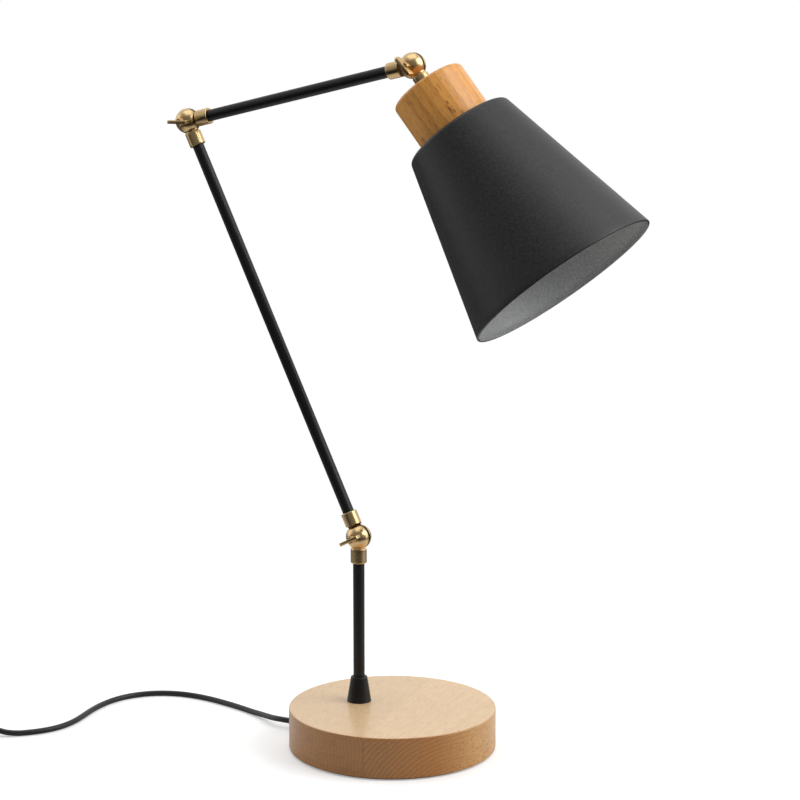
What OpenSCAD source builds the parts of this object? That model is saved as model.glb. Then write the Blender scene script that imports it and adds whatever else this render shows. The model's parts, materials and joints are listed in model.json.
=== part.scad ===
// Desk lamp: a round beech base, an offset post, two swing arms on split-ball
// knuckles with wing screws, and a metal shade under a turned beech cap.
// Frame: origin under the middle of the base, +X towards the shade, +Z up.
// Every hinge turns about Y. The front of a knuckle is its -Y side.

/* [Base] */
// Diameter of the wooden base
base_d = 180; // [165:1:200]
// Height of the top of the base above the table
base_h = 37; // [35:0.5:45]
// Rounding of the edges of the base
base_edge = 1.2; // [0.6:0.1:2]
// Thickness of the wooden wall round the recess
base_wall = 22; // [20:0.5:26]
// Thickness of the wood over the recess
base_top_t = 14.5; // [12:0.5:16]
// Thickness of the felt under the base
felt_t = 1.5; // [1:0.1:2]
// Margin between the felt and the edge of the base
felt_margin = 4; // [3:0.5:8]
// Thickness of the steel plate that closes the recess
plate_t = 1.5; // [1.2:0.1:2]
// Width of the seat of the plate on the wood
plate_lap = 10; // [9:0.5:12]
// Thickness of the steel weight
weight_t = 10; // [7:0.5:11]
// Width of the slot in the weight that clears the post nut
weight_slot_w = 44; // [38:1:50]

/* [Post] */
// Distance of the post behind the middle of the base
post_x = 33; // [30:0.5:36]
// Height of the lower knuckle above the base
post_h = 147.5; // [120:0.5:200]
// Diameter of the post and arm tubes
tube_d = 10; // [9:0.1:10.5]
// Wall of the post and arm tubes
tube_wall = 1; // [0.7:0.1:1.2]
// Diameter of the foot of the post collar
collar_d = 21.4; // [18:0.2:26]
// Diameter of the top of the post collar
collar_top_d = 14.2; // [13:0.2:17]
// Height of the post collar
collar_h = 22.4; // [16:0.2:30]
// Diameter of the washer under the base
post_washer_d = 26; // [22:0.5:30]
// Width of the post nut across its flats
post_nut_af = 17; // [15:0.5:19]

/* [Arms] */
// Length of the lower arm from ball to ball
lower_arm_len = 391; // [300:1:450]
// Lean of the lower arm back from upright
lower_arm_lean = 25.5; // [15:0.5:35]
// Length of the upper arm from ball to ball
upper_arm_len = 227; // [180:1:260]
// Rise of the upper arm above level
upper_arm_rise = 13.5; // [5:0.5:30]
// Tilt of the shade out from straight down
shade_tilt = 39; // [25:0.5:55]

/* [Knuckles] */
// Diameter of a knuckle ball
ball_d = 22; // [21:0.2:24]
// Inner diameter of the hollow ball
cavity_d = 15; // [13:0.2:16]
// Diameter of a ferrule
ferrule_d = 13.5; // [12.8:0.1:14.5]
// Length of a ferrule beyond its gap to the ball
ferrule_len = 8.2; // [8.2:0.1:14]
// Gap between a ferrule and the ball of the other half
knuckle_gap = 2.3; // [1.5:0.1:3]
// Thickness of the friction washer between two halves
washer_t = 0.8; // [0.5:0.1:1.2]
// Depth of a tube in its ferrule
socket_depth = 8; // [6:0.1:8]
// Diameter of the clamping screw
screw_d = 5; // [4:0.1:5.5]
// Diameter of the round boss under a wing
wing_boss_d = 6.5; // [6:0.1:7]
// Length of a wing
wing_len = 19.5; // [16:0.5:24]
// Height of a wing along its screw
wing_h = 7.5; // [5:0.1:9]
// Thickness of a wing
wing_t = 3; // [2:0.1:3.6]

/* [Head] */
// Diameter of the wooden cap
cap_d = 66; // [62:0.5:74]
// Height of the wooden cap
cap_h = 46; // [42:0.5:54]
// Rounding of the top edge of the cap
cap_round = 3; // [1:0.1:5]
// Thickness of the wood at the top of the cap
cap_top_t = 10; // [8:0.5:12]
// Diameter of the recess in the cap
cap_recess_d = 50; // [49.4:0.2:54]
// Diameter of the flat top of the shade, before its rounded corner
shade_top_d = 95; // [84:0.5:110]
// Diameter of the mouth of the shade
shade_mouth_d = 169.5; // [130:0.5:200]
// Height of the shade
shade_h = 153; // [130:1:180]
// Thickness of the sheet of the shade
shade_wall = 1; // [0.7:0.1:1.5]
// Outer radius of the corner round the top of the shade
shade_round = 4; // [2.5:0.1:8]
// Diameter of the rolled rim at the mouth
rim_d = 2; // [1.6:0.1:3]
// Outer diameter of the lampholder sleeve
holder_d = 39; // [38:0.1:41]
// Length of the lampholder sleeve below the top of the shade
holder_drop = 22; // [18:0.5:30]
// Inner diameter of the socket for the bulb cap
socket_d = 26.8; // [26.4:0.1:27.2]
// Depth of the socket
socket_h = 30; // [26:0.5:30]

/* [Cord] */
// Diameter of the cord
cord_d = 5; // [4:0.1:5.2]
// Length of the bushing outside the base
bushing_tip = 14; // [12:0.5:18]
// Length of the cord switch
switch_len = 60; // [56:1:70]
// Width of the cord switch
switch_w = 26; // [25:0.5:32]
// Height of the cord switch
switch_h = 14; // [13.4:0.2:18]
// Gap between neighbouring turns of the coil
coil_gap = 0.6; // [0.5:0.05:1]
// Turns of the coil in each of its two layers
coil_turns = 3; // [2:1:4]
// Largest radius of the coil, at the middle of the cord
coil_r = 39; // [38:0.5:46]
// Thickness of the plug
plug_t = 13.7; // [13:0.1:16]
// Distance between the plug pins
pin_pitch = 19; // [17:0.1:20]
// Diameter of a plug pin
pin_d = 4; // [3.6:0.1:4.8]
// Length of a plug pin
pin_len = 19; // [16:0.5:22]

/* [Hidden] */
$fn = 64;

// Colours of the finishes
beech = "#dcb98a";
honey_beech = "#c08444";
brass = "#b8965a";
black_paint = "#1d1d1f";
steel = "#8b8f94";
black_plastic = "#18181a";
white_ceramic = "#e6e3dc";
felt_grey = "#3a3a3c";

// Clearances
fit = 0.05;         // pieces pushed or screwed together
running = 0.05;     // a shaft in its hole
loose = 0.3;        // pieces that pass without touching
cut = 1;            // how far a cutting solid runs past a face

// Heights in the base
wood_z = felt_t;
recess_z = felt_t + plate_t;
ceiling_z = base_h - base_top_t;
recess_r = base_d / 2 - base_wall;
plate_r = recess_r + plate_lap;

// Screws in the base
weight_screw_d = 4;
weight_screw_head = [8, 2.5];
weight_screw_bite = 9;
weight_screw_r = recess_r - 23;
weight_screw_angle = 80;
plate_screw_d = 3;
plate_screw_head_d = 6;
plate_screw_bite = 10;
plate_screw_count = 4;
plate_screw_r = recess_r + plate_lap / 2;

// Post hardware
tube_r = tube_d / 2;
bore_r = tube_r - tube_wall;
post_washer_t = 1.5;
post_nut_t = 5;
post_tail = 3;
post_foot_z = ceiling_z - post_washer_t - post_nut_t - post_tail;
collar_round = 1;

// Knuckles: the radius that one half leaves free for the other, and the reach of a ferrule
ball_r = ball_d / 2;
free_r = ball_r + knuckle_gap;
ferrule_reach = free_r + ferrule_len;
tube_start = ferrule_reach - socket_depth;
ferrule_chamfer = 0.6;
blend_z = 0.64 * ball_r;    // where the neck of a ferrule leaves the ball
screw_boss_d = screw_d + 4;
thread_depth = ball_r - 2;
spot_sink = 0.2;
spot_y = sqrt(ball_r * ball_r - wing_boss_d * wing_boss_d / 4) - spot_sink;
wing_lift = 1.5;
wing_y = spot_y + loose + wing_lift;
wing_round = 2;

// Ball centres
lower_ball = [-post_x, 0, base_h + post_h];
elbow_ball = lower_ball + lower_arm_len * [-sin(lower_arm_lean), 0, cos(lower_arm_lean)];
head_ball = elbow_ball + upper_arm_len * [cos(upper_arm_rise), 0, sin(upper_arm_rise)];

// Turn of each wing up from level
lower_wing_turn = 28;
elbow_wing_turn = 1;
head_wing_turn = -46;

// Head, measured along the axis of the shade from the head ball
cap_z = ferrule_reach;
cap_inside_z = cap_z + cap_top_t;
shade_z = cap_z + cap_h;
nipple_nut_t = 3;
nipple_nut_af = 14;
holder_cap_z = cap_inside_z + nipple_nut_t;
holder_cap_h = 11.5;
holder_entry_h = 8;
sleeve_z = holder_cap_z + holder_cap_h;
sleeve_end_z = shade_z + holder_drop;
shoulder_d = cap_recess_d - 2;
shoulder_h = 4;
shade_hole_d = holder_d + 2 * loose;
ring_d = holder_d + 13;
ring_h = 8;
shell_t = 0.9;
shell_recess = 2;
shell_z = sleeve_end_z - shell_recess - socket_h;
sleeve_floor_t = 3;
shell_floor_t = 1;
contact_d = 9;
contact_gap = 2;

// Wiring cores
core_d = 2.2;
core_y = bore_r - core_d / 2 - loose;
sheath_end_x = -60;
core_gap = 0.3;
core_pair_y = (core_d + core_gap) / 2;
core_bend_r = 9;
core_spread_h = 14;

// Bushing that holds the cord in the wall of the base
bushing_d = cord_d + 2.2;
bushing_hole_d = bushing_d + 2 * fit;
bushing_flange = [12, 2];
bushing_root_d = 9.4;
bushing_tip_d = cord_d + 1.4;
bushing_lift = 0.95;
cord_z = recess_z + bushing_lift + bushing_hole_d / 2;
cord_r = cord_d / 2;

// Route of the cord over the table: x, y and the share of the lift at that end
exit_route = [
    [-60, 0, 1], [-75, 0, 1], [-90, 0, 1], [-104, 0, 1], [-110, 0, 1], [-117, 1, 0.93],
    [-125, 4.5, 0.72], [-134, 10, 0.44], [-144, 15.5, 0.19], [-155, 20, 0.04], [-167, 24.3, 0],
    [-180, 28.2, 0], [-193, 31.5, 0], [-206, 34.2, 0], [-219, 35.8, 0], [-231, 36, 0],
    [-242, 34.8, 0], [-253, 31.5, 0], [-263, 26.3, 0], [-272, 18.7, 0], [-279, 9.5, 0],
    [-284, -1, 0], [-287, -13, 0], [-288, -26, 0], [-287.5, -39, 0], [-286, -51, 0],
    [-284, -63, 0], [-282.5, -75, 0], [-282.5, -87, 0], [-284.5, -98.5, 0], [-289, -109.5, 0],
    [-296, -119.5, 0], [-305, -128.5, 0]
];
switch_route = [[-314.5, -135, 0.25], [-323, -139.4, 0.8], [-330.6, -142.2, 1], [-336, -143.95, 1]];
cord_sides = 10;
switch_turn = 198;
switch_axis_z = switch_h / 2;
switch_wall = 3;
switch_round = 8;

// Inside of the switch, along its heading
switch_shell_t = 2;
switch_screw_d = 2.5;
switch_screw_bite = 4;
switch_screw_sink = 0.4;
switch_screw_boss_d = switch_screw_d + 3;
switch_screw_x = 10;
switch_screw_y = switch_w / 2 - 4.5;
rocker_size = [21, 10.4, 8];
rocker_horn = 0.8;
rocker_dip = 0.6;
rocker_chamfer = 1.5;
rocker_gap = 0.9;
rocker_tilt = 8;
rocker_axle_d = 2.5;
rocker_axle_len = 15;
rocker_axle_z = switch_h - 3;
cheek_t = 2.5;
cheek_w = 8;
cheek_y = rocker_size.y / 2 + loose;
cheek_z = switch_axis_z + 1;

// Coil: a spiral in and out again, a layer higher, with straight runs at its ends
coil_pitch = cord_d + coil_gap;
coil_spin = coil_turns + 0.25;
tie_t = 1;
tie_w = 8;
tie_clear = 0.8;
coil_z = cord_r + tie_clear + tie_t;
coil_top_z = coil_z + coil_pitch;
coil_sides = 6;
coil_steps = 24;
lead_in = 36;
lead_bend = [0.2, 0.7];     // where the run starts to sink, and the share that it takes
run_steps = 8;
tail = 40;
tail_bend = [0.25, 0.6];    // where the tail starts to sink, and the share that it takes
plug_grip = 17;

// Plug
plug_neck = [9.5, 7.5, 21];
plug_len = 34;
plug_face_w = 26;
plug_back_w = 34;
plug_shoulder = 9;
plug_waist = 4;
plug_edge = 3;
pin_root_len = 10;
pin_root_d = pin_d - 0.4;
plug_axis_z = plug_t / 2;

function unit(v) = v / norm(v);

// Tangent of a route at one of its points
function tangent(route, i) = unit(route[min(i + 1, len(route) - 1)] - route[max(i - 1, 0)]);

// A side direction carried along the route without twist
function carried(side, along) = unit(side - (side * along) * along);
function side_list(route, side, i = 0) =
    i == len(route) ? []
    : let (now = carried(side, tangent(route, i))) concat([now], side_list(route, now, i + 1));

// Even blend from 0 to 1
function ease(t) = let (u = min(max(t, 0), 1)) u * u * (3 - 2 * u);

// Points of an arc in a plane
function arc(centre, r, from, to, steps) = [
    for (i = [0:steps]) let (turn = from + (to - from) * i / steps) centre + r * [cos(turn), sin(turn)]
];

// Places of the cord, the switch, the coil and the plug
cord_route = concat(
    [for (p = exit_route) [p.x, p.y, cord_r + p.z * (cord_z - cord_r)]],
    [for (p = switch_route) [p.x, p.y, cord_r + p.z * (switch_axis_z - cord_r)]]
);
heading = [cos(switch_turn), sin(switch_turn), 0];
coil_side = [-heading.y, heading.x, 0];
cord_end = cord_route[len(cord_route) - 1];
switch_start = [cord_end.x, cord_end.y, 0] - switch_wall * heading;
coil_start = switch_start + (switch_len - switch_wall) * heading;
coil_middle = coil_start + lead_in * heading + coil_r * coil_side;
coil_end = coil_middle + coil_r * coil_side;
plug_start = coil_end - tail * heading;

// Turns t from 0 to twice coil_spin: inwards on the lower layer, then outwards on the upper one
function coil_radius(t) = coil_r - coil_pitch * (coil_spin - abs(t - coil_spin));
function coil_height(t) = coil_z + coil_pitch * ease((t - coil_turns) * 2);
function coil_point(t) =
    coil_middle + [0, 0, coil_height(t)]
    + coil_radius(t) * (sin(360 * t) * heading - cos(360 * t) * coil_side);
spiral = [for (i = [0:2 * coil_spin * coil_steps]) coil_point(i / coil_steps)];
lead_in_run = [
    for (i = [0:run_steps - 1]) let (s = i / run_steps)
        coil_start + s * lead_in * heading
        + [0, 0, switch_axis_z + (coil_z - switch_axis_z) * ease((s - lead_bend[0]) / lead_bend[1])]
];
tail_run = [
    for (i = [1:run_steps]) let (s = i / run_steps)
        coil_end - s * tail * heading
        + [0, 0, coil_top_z + (plug_axis_z - coil_top_z) * ease((s - tail_bend[0]) / tail_bend[1])]
];
coil_route = concat(
    lead_in_run, spiral, tail_run, [plug_start - plug_grip * heading + [0, 0, plug_axis_z]]
);
coil_self_gap = min([
    for (i = [0:len(spiral) - 1]) for (j = [i + coil_steps / 2:len(spiral) - 1])
        norm(spiral[i] - spiral[j])
]) - cord_d;
echo(coil_self_gap = coil_self_gap);

// Tube of the given radius along a route
module swept_tube(route, r, sides, start_side) {
    side = side_list(route, start_side);
    rings = [
        for (i = [0:len(route) - 1]) let (across = cross(tangent(route, i), side[i]))
            for (k = [0:sides - 1])
                route[i] + r * (cos(360 * k / sides) * side[i] + sin(360 * k / sides) * across)
    ];
    last = (len(route) - 1) * sides;
    walls = [
        for (i = [0:len(route) - 2]) for (k = [0:sides - 1])
            let (a = i * sides + k, b = i * sides + (k + 1) % sides)
                each [[a, a + sides, b], [b, a + sides, b + sides]]
    ];
    ends = [for (k = [1:sides - 2]) each [[0, k, k + 1], [last, last + k + 1, last + k]]];
    polyhedron(points = rings, faces = concat(walls, ends));
}

// Rectangle with round corners, its first corner at the origin
module rounded_rect(w, h, r) {
    translate([r, 0]) square([w - 2 * r, h]);
    translate([0, r]) square([w, h - 2 * r]);
    for (x = [r, w - r], y = [r, h - r]) translate([x, y]) circle(r);
}

// Disc with a rounded upper and lower edge
module soft_disc(d, h, low, high) {
    r = d / 2;
    rotate_extrude() {
        square([r - low, low]);
        translate([0, low]) square([r, h - low - high]);
        translate([0, h - high]) square([r - high, high]);
        translate([r - low, low]) circle(low);
        translate([r - high, h - high]) circle(high);
    }
}

// Straight tube from one height to another
module tube(outer_r, inner_r, from, to) {
    difference() {
        translate([0, 0, from]) cylinder(r = outer_r, h = to - from);
        translate([0, 0, from - cut]) cylinder(r = inner_r, h = to - from + 2 * cut);
    }
}

module at_post() translate([-post_x, 0, 0]) children();
module along_lower_arm() translate(lower_ball) rotate([0, -lower_arm_lean, 0]) children();
module along_upper_arm() translate(elbow_ball) rotate([0, 90 - upper_arm_rise, 0]) children();
module along_head() translate(head_ball) rotate([0, 180 - shade_tilt, 0]) children();
module on_switch() translate(switch_start) rotate([0, 0, switch_turn]) children();
module on_plug() translate(plug_start) rotate([0, 0, switch_turn + 180]) children();

// Places of the screws in the base
module at_weight_screws()
    for (i = [-1:1]) rotate([0, 0, i * weight_screw_angle]) translate([weight_screw_r, 0, 0]) children();
module at_plate_screws()
    for (i = [0:plate_screw_count - 1])
        rotate([0, 0, (i + 0.5) * 360 / plate_screw_count]) translate([plate_screw_r, 0, 0]) children();

module base_disc() {
    color(beech) difference() {
        translate([0, 0, wood_z]) soft_disc(base_d, base_h - wood_z, base_edge, base_edge);
        translate([0, 0, wood_z - cut]) cylinder(r = plate_r + fit, h = plate_t + cut);
        translate([0, 0, recess_z - cut]) cylinder(r = recess_r, h = ceiling_z - recess_z + cut);
        at_post() translate([0, 0, ceiling_z - cut]) cylinder(r = tube_r + fit, h = base_top_t + 2 * cut);
        translate([-recess_r + cut, 0, cord_z]) rotate([0, -90, 0])
            cylinder(d = bushing_hole_d, h = base_wall + 2 * cut);
        at_weight_screws() translate([0, 0, ceiling_z - cut])
            cylinder(d = weight_screw_d + 2 * fit, h = weight_screw_bite + cut + loose);
        at_plate_screws() translate([0, 0, recess_z - cut])
            cylinder(d = plate_screw_d + 2 * fit, h = plate_screw_bite + cut + loose);
    }
}

module plate_screw_shape(extra) {
    cylinder(r1 = plate_screw_head_d / 2 + extra, r2 = plate_screw_d / 2 + extra, h = plate_t);
    cylinder(d = plate_screw_d + 2 * extra, h = plate_t + plate_screw_bite);
}

module base_plate() {
    color(steel) difference() {
        translate([0, 0, wood_z]) cylinder(r = plate_r, h = plate_t);
        at_plate_screws() translate([0, 0, wood_z]) plate_screw_shape(fit);
    }
}

module base_felt() {
    color(felt_grey) cylinder(d = base_d - 2 * felt_margin, h = felt_t);
}

module base_weight() {
    color(steel) difference() {
        translate([0, 0, ceiling_z - weight_t]) cylinder(r = recess_r - loose, h = weight_t);
        at_post() translate([0, 0, ceiling_z - weight_t - cut])
            cylinder(d = weight_slot_w, h = weight_t + 2 * cut);
        translate([-base_d, -weight_slot_w / 2, ceiling_z - weight_t - cut])
            cube([base_d - post_x, weight_slot_w, weight_t + 2 * cut]);
        at_weight_screws() translate([0, 0, ceiling_z - weight_t - cut])
            cylinder(d = weight_screw_d + 2 * fit, h = weight_t + 2 * cut);
    }
}

module weight_screws() {
    color(steel) at_weight_screws() translate([0, 0, ceiling_z - weight_t]) {
        cylinder(d = weight_screw_d, h = weight_t + weight_screw_bite);
        translate([0, 0, -weight_screw_head[1]])
            cylinder(d = weight_screw_head[0], h = weight_screw_head[1]);
    }
}

module plate_screws() {
    color(steel) at_plate_screws() translate([0, 0, wood_z]) plate_screw_shape(0);
}

module post_collar() {
    foot_r = collar_d / 2;
    top_r = collar_top_d / 2;
    color(black_paint) at_post() translate([0, 0, base_h]) difference() {
        rotate_extrude() {
            polygon([
                [0, 0], [foot_r, 0], [top_r, collar_h - collar_round],
                [top_r - collar_round, collar_h], [0, collar_h]
            ]);
            translate([top_r - collar_round, collar_h - collar_round]) circle(collar_round);
        }
        translate([0, 0, -cut]) cylinder(r = tube_r + fit, h = collar_h + 2 * cut);
    }
}

module post_tube() {
    color(black_paint) at_post() tube(tube_r, bore_r, post_foot_z, lower_ball.z - tube_start);
}

module post_washer() {
    color(steel) at_post() tube(post_washer_d / 2, tube_r + fit, ceiling_z - post_washer_t, ceiling_z);
}

// Six-sided nut with its base at the origin
module hex_nut(across_flats, h) {
    difference() {
        cylinder(d = across_flats / cos(30), h = h, $fn = 6);
        translate([0, 0, -cut]) cylinder(r = tube_r + fit, h = h + 2 * cut);
    }
}

module post_nut() {
    color(steel) at_post() translate([0, 0, ceiling_z - post_washer_t - post_nut_t])
        hex_nut(post_nut_af, post_nut_t);
}

// Two cores from the end of the cord's sheath, round a bend and up the post
module post_wires() {
    bend_x = -post_x - core_bend_r;
    bend = arc([bend_x, cord_z + core_bend_r], core_bend_r, -90, 0, 8);
    rise_z = cord_z + core_bend_r + core_spread_h;
    color(black_plastic) for (side = [-1, 1])
        swept_tube(
            concat(
                [[sheath_end_x, side * core_pair_y, cord_z]],
                [for (p = bend) [p.x, side * core_pair_y, p.y]],
                [[-post_x, side * core_y, rise_z], [-post_x, side * core_y, lower_ball.z - tube_start]]
            ),
            core_d / 2, 8, [0, 1, 0]
        );
}

module cord_bushing() {
    seat_x = base_d / 2 + loose;
    color(black_plastic) translate([0, 0, cord_z]) rotate([0, -90, 0]) difference() {
        union() {
            translate([0, 0, recess_r - cut]) cylinder(d = bushing_d, h = seat_x - recess_r + cut + cut);
            translate([0, 0, seat_x]) cylinder(d = bushing_flange[0], h = bushing_flange[1]);
            translate([0, 0, seat_x + bushing_flange[1]]) cylinder(
                d1 = bushing_root_d, d2 = bushing_tip_d, h = bushing_tip - loose - bushing_flange[1]
            );
        }
        translate([0, 0, recess_r - 2 * cut])
            cylinder(d = cord_d + 2 * fit, h = base_wall + bushing_tip + 4 * cut);
    }
}

// All space on one side of the split of a knuckle, from y = side * gap outwards
module split_side(side, gap) {
    span = 4 * ball_d;
    translate([-span / 2, side > 0 ? gap : -gap - span, -span / 2]) cube(span);
}

// Half a knuckle: half a hollow ball on one side of the split and a round ferrule along +Z
module knuckle_half(side) {
    face = washer_t / 2;
    ferrule_r = ferrule_d / 2;
    blend_r = sqrt(ball_r * ball_r - blend_z * blend_z);
    color(brass) difference() {
        union() {
            intersection() {
                sphere(ball_r);
                split_side(side, face);
            }
            cylinder(r = ferrule_r, h = ferrule_reach - ferrule_chamfer);
            translate([0, 0, blend_z]) cylinder(r1 = blend_r, r2 = ferrule_r, h = free_r - blend_z);
            translate([0, 0, ferrule_reach - ferrule_chamfer])
                cylinder(r1 = ferrule_r, r2 = ferrule_r - ferrule_chamfer, h = ferrule_chamfer);
        }
        intersection() {
            sphere(free_r);
            split_side(-side, -face);
        }
        difference() {
            sphere(d = cavity_d);
            if (side > 0) rotate([-90, 0, 0]) cylinder(d = screw_boss_d, h = ball_r);
        }
        translate([0, 0, screw_boss_d / 2 + loose]) cylinder(r = bore_r, h = ferrule_reach);
        translate([0, 0, tube_start]) cylinder(r = tube_r + fit, h = socket_depth + cut);
        if (side > 0) rotate([-90, 0, 0]) cylinder(r = screw_d / 2 + running, h = thread_depth);
        if (side < 0) rotate([90, 0, 0]) cylinder(r = screw_d / 2 + running, h = ball_r + cut);
        if (side < 0) translate([0, -spot_y, 0]) rotate([90, 0, 0]) cylinder(r = ball_r, h = ball_r);
    }
}

// Friction washer between the halves, on the face of the rear half
module friction_washer() {
    color(black_plastic) translate([0, washer_t / 2, 0]) rotate([90, 0, 0])
        tube(ball_r - loose, cavity_d / 2 + loose, 0, washer_t - running);
}

module lower_knuckle_post_half() translate(lower_ball) rotate([0, 180, 0]) knuckle_half(-1);
module lower_knuckle_arm_half() along_lower_arm() knuckle_half(1);
module lower_friction_washer() translate(lower_ball) friction_washer();
module elbow_lower_half() translate(elbow_ball) rotate([0, 180 - lower_arm_lean, 0]) knuckle_half(-1);
module elbow_upper_half() along_upper_arm() knuckle_half(1);
module elbow_friction_washer() translate(elbow_ball) friction_washer();
module head_knuckle_arm_half() translate(head_ball) rotate([0, 270 - upper_arm_rise, 0]) knuckle_half(1);
module head_knuckle_shade_half() along_head() knuckle_half(-1);
module head_friction_washer() translate(head_ball) friction_washer();

// Two straight cores that lie against the inside of a tube
module core_pair(from, to) {
    color(black_plastic) for (side = [-1, 1])
        translate([0, side * core_y, from]) cylinder(d = core_d, h = to - from);
}

module lower_arm_tube()
    color(black_paint) along_lower_arm() tube(tube_r, bore_r, tube_start, lower_arm_len - tube_start);
module lower_arm_wires() along_lower_arm() core_pair(tube_start, lower_arm_len - tube_start);
module upper_arm_tube()
    color(black_paint) along_upper_arm() tube(tube_r, bore_r, tube_start, upper_arm_len - tube_start);
module upper_arm_wires() along_upper_arm() core_pair(tube_start, upper_arm_len - tube_start);

// Wing screw along Y: shank into the rear half, boss on the front half, flat wing
module wing_screw(turn) {
    boss_z = spot_y + loose;
    color(brass) rotate([0, -turn, 0]) rotate([90, 0, 0]) {
        translate([0, 0, loose - thread_depth]) cylinder(d = screw_d, h = thread_depth + boss_z);
        translate([0, 0, boss_z]) cylinder(d = wing_boss_d, h = wing_y + wing_h / 2 - boss_z);
        translate([0, wing_t / 2, 0]) rotate([90, 0, 0]) linear_extrude(wing_t)
            translate([-wing_len / 2, wing_y]) rounded_rect(wing_len, wing_h, wing_round);
    }
}

module lower_wing_screw() translate(lower_ball) wing_screw(lower_wing_turn);
module elbow_wing_screw() translate(elbow_ball) wing_screw(elbow_wing_turn);
module head_wing_screw() translate(head_ball) wing_screw(head_wing_turn);

module head_nipple()
    color(steel) along_head() tube(tube_r, bore_r, tube_start, holder_cap_z + holder_entry_h);
module head_wires() along_head() core_pair(tube_start, holder_cap_z + holder_entry_h);
module nipple_nut()
    color(steel) along_head() translate([0, 0, cap_inside_z]) hex_nut(nipple_nut_af, nipple_nut_t);

module cap() {
    foot_round = 0.6;
    color(honey_beech) along_head() difference() {
        translate([0, 0, cap_z]) soft_disc(cap_d, cap_h, cap_round, foot_round);
        translate([0, 0, cap_z - cut]) cylinder(r = tube_r + fit, h = cap_top_t + 2 * cut);
        translate([0, 0, cap_inside_z]) cylinder(d = cap_recess_d, h = cap_h);
    }
}

module lampholder_cap() {
    wall = 2;
    color(white_ceramic) along_head() translate([0, 0, holder_cap_z]) difference() {
        soft_disc(holder_d - 2, holder_cap_h, 2, 0.4);
        translate([0, 0, -cut]) cylinder(r = tube_r + fit, h = holder_entry_h + cut);
        translate([0, 0, holder_entry_h]) cylinder(d = holder_d - 2 - 2 * wall, h = holder_cap_h);
    }
}

module lampholder_sleeve() {
    color(white_ceramic) along_head() difference() {
        union() {
            translate([0, 0, sleeve_z]) cylinder(d = holder_d, h = sleeve_end_z - sleeve_z);
            translate([0, 0, shade_z - shoulder_h]) cylinder(d = shoulder_d, h = shoulder_h);
        }
        translate([0, 0, shell_z])
            cylinder(r = socket_d / 2 + shell_t + fit, h = socket_h + shell_recess + cut);
        translate([0, 0, sleeve_z - cut])
            cylinder(r = socket_d / 2, h = shell_z - sleeve_floor_t - sleeve_z + cut);
    }
}

// Metal shell with the socket for the bulb cap, closed by a floor
module socket_shell() {
    color(brass) along_head() difference() {
        translate([0, 0, shell_z]) cylinder(r = socket_d / 2 + shell_t, h = socket_h);
        translate([0, 0, shell_z + shell_floor_t]) cylinder(d = socket_d, h = socket_h);
        translate([0, 0, shell_z - cut]) cylinder(d = contact_d + 2 * contact_gap, h = 2 * cut + shell_floor_t);
    }
}

module socket_contact()
    color(brass) along_head() translate([0, 0, shell_z]) soft_disc(contact_d, shell_floor_t, 0.2, 0.4);

module shade() {
    top_r = shade_top_d / 2;
    mouth_r = shade_mouth_d / 2;
    slope = atan2(shade_h, mouth_r - top_r);
    corner = [top_r - shade_round * tan(slope / 2), shade_round];
    lip_r = mouth_r - shade_wall / sin(slope);
    color(black_paint) along_head() translate([0, 0, shade_z]) rotate_extrude($fn = 128) {
        polygon(concat(
            [[shade_hole_d / 2, shade_wall], [shade_hole_d / 2, 0]],
            arc(corner, shade_round, -90, slope - 90, 8),
            [[mouth_r, shade_h], [lip_r, shade_h]],
            arc(corner, shade_round - shade_wall, slope - 90, -90, 8)
        ));
        translate([mouth_r - rim_d / 2, shade_h - rim_d / 2]) circle(d = rim_d);
    }
}

module shade_ring() {
    color(white_ceramic) along_head() translate([0, 0, shade_z + shade_wall]) difference() {
        soft_disc(ring_d, ring_h, 0.6, 1.5);
        translate([0, 0, -cut]) cylinder(d = holder_d + 2 * fit, h = ring_h + 2 * cut);
    }
}

module power_cord()
    color(black_plastic) swept_tube(cord_route, cord_r, cord_sides, [0, 0, 1]);

module switch_block(from, to) {
    translate([0, -switch_w / 2, from]) linear_extrude(to - from)
        rounded_rect(switch_len, switch_w, switch_round);
}

module switch_hollow(from, to) {
    inner_round = switch_round - switch_wall;
    translate([switch_wall, switch_wall - switch_w / 2, from]) linear_extrude(to - from)
        rounded_rect(switch_len - 2 * switch_wall, switch_w - 2 * switch_wall, inner_round);
}

module switch_cord_hole() {
    translate([-cut, 0, switch_axis_z]) rotate([0, 90, 0])
        cylinder(d = cord_d + 2 * fit, h = switch_len + 2 * cut);
}

module at_switch_screws() {
    translate([switch_screw_x, switch_screw_y, 0]) children();
    translate([switch_len - switch_screw_x, -switch_screw_y, 0]) children();
}

module switch_base() {
    color(black_plastic) on_switch() difference() {
        union() {
            difference() {
                switch_block(0, switch_axis_z);
                switch_hollow(switch_shell_t, switch_h);
            }
            at_switch_screws() cylinder(d = switch_screw_boss_d, h = switch_axis_z);
        }
        switch_cord_hole();
        at_switch_screws() translate([0, 0, -cut]) cylinder(d = switch_screw_d + 2 * fit, h = switch_h);
        at_switch_screws() translate([0, 0, -cut])
            cylinder(d = 2 * switch_screw_d, h = switch_shell_t + cut);
    }
}

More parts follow.
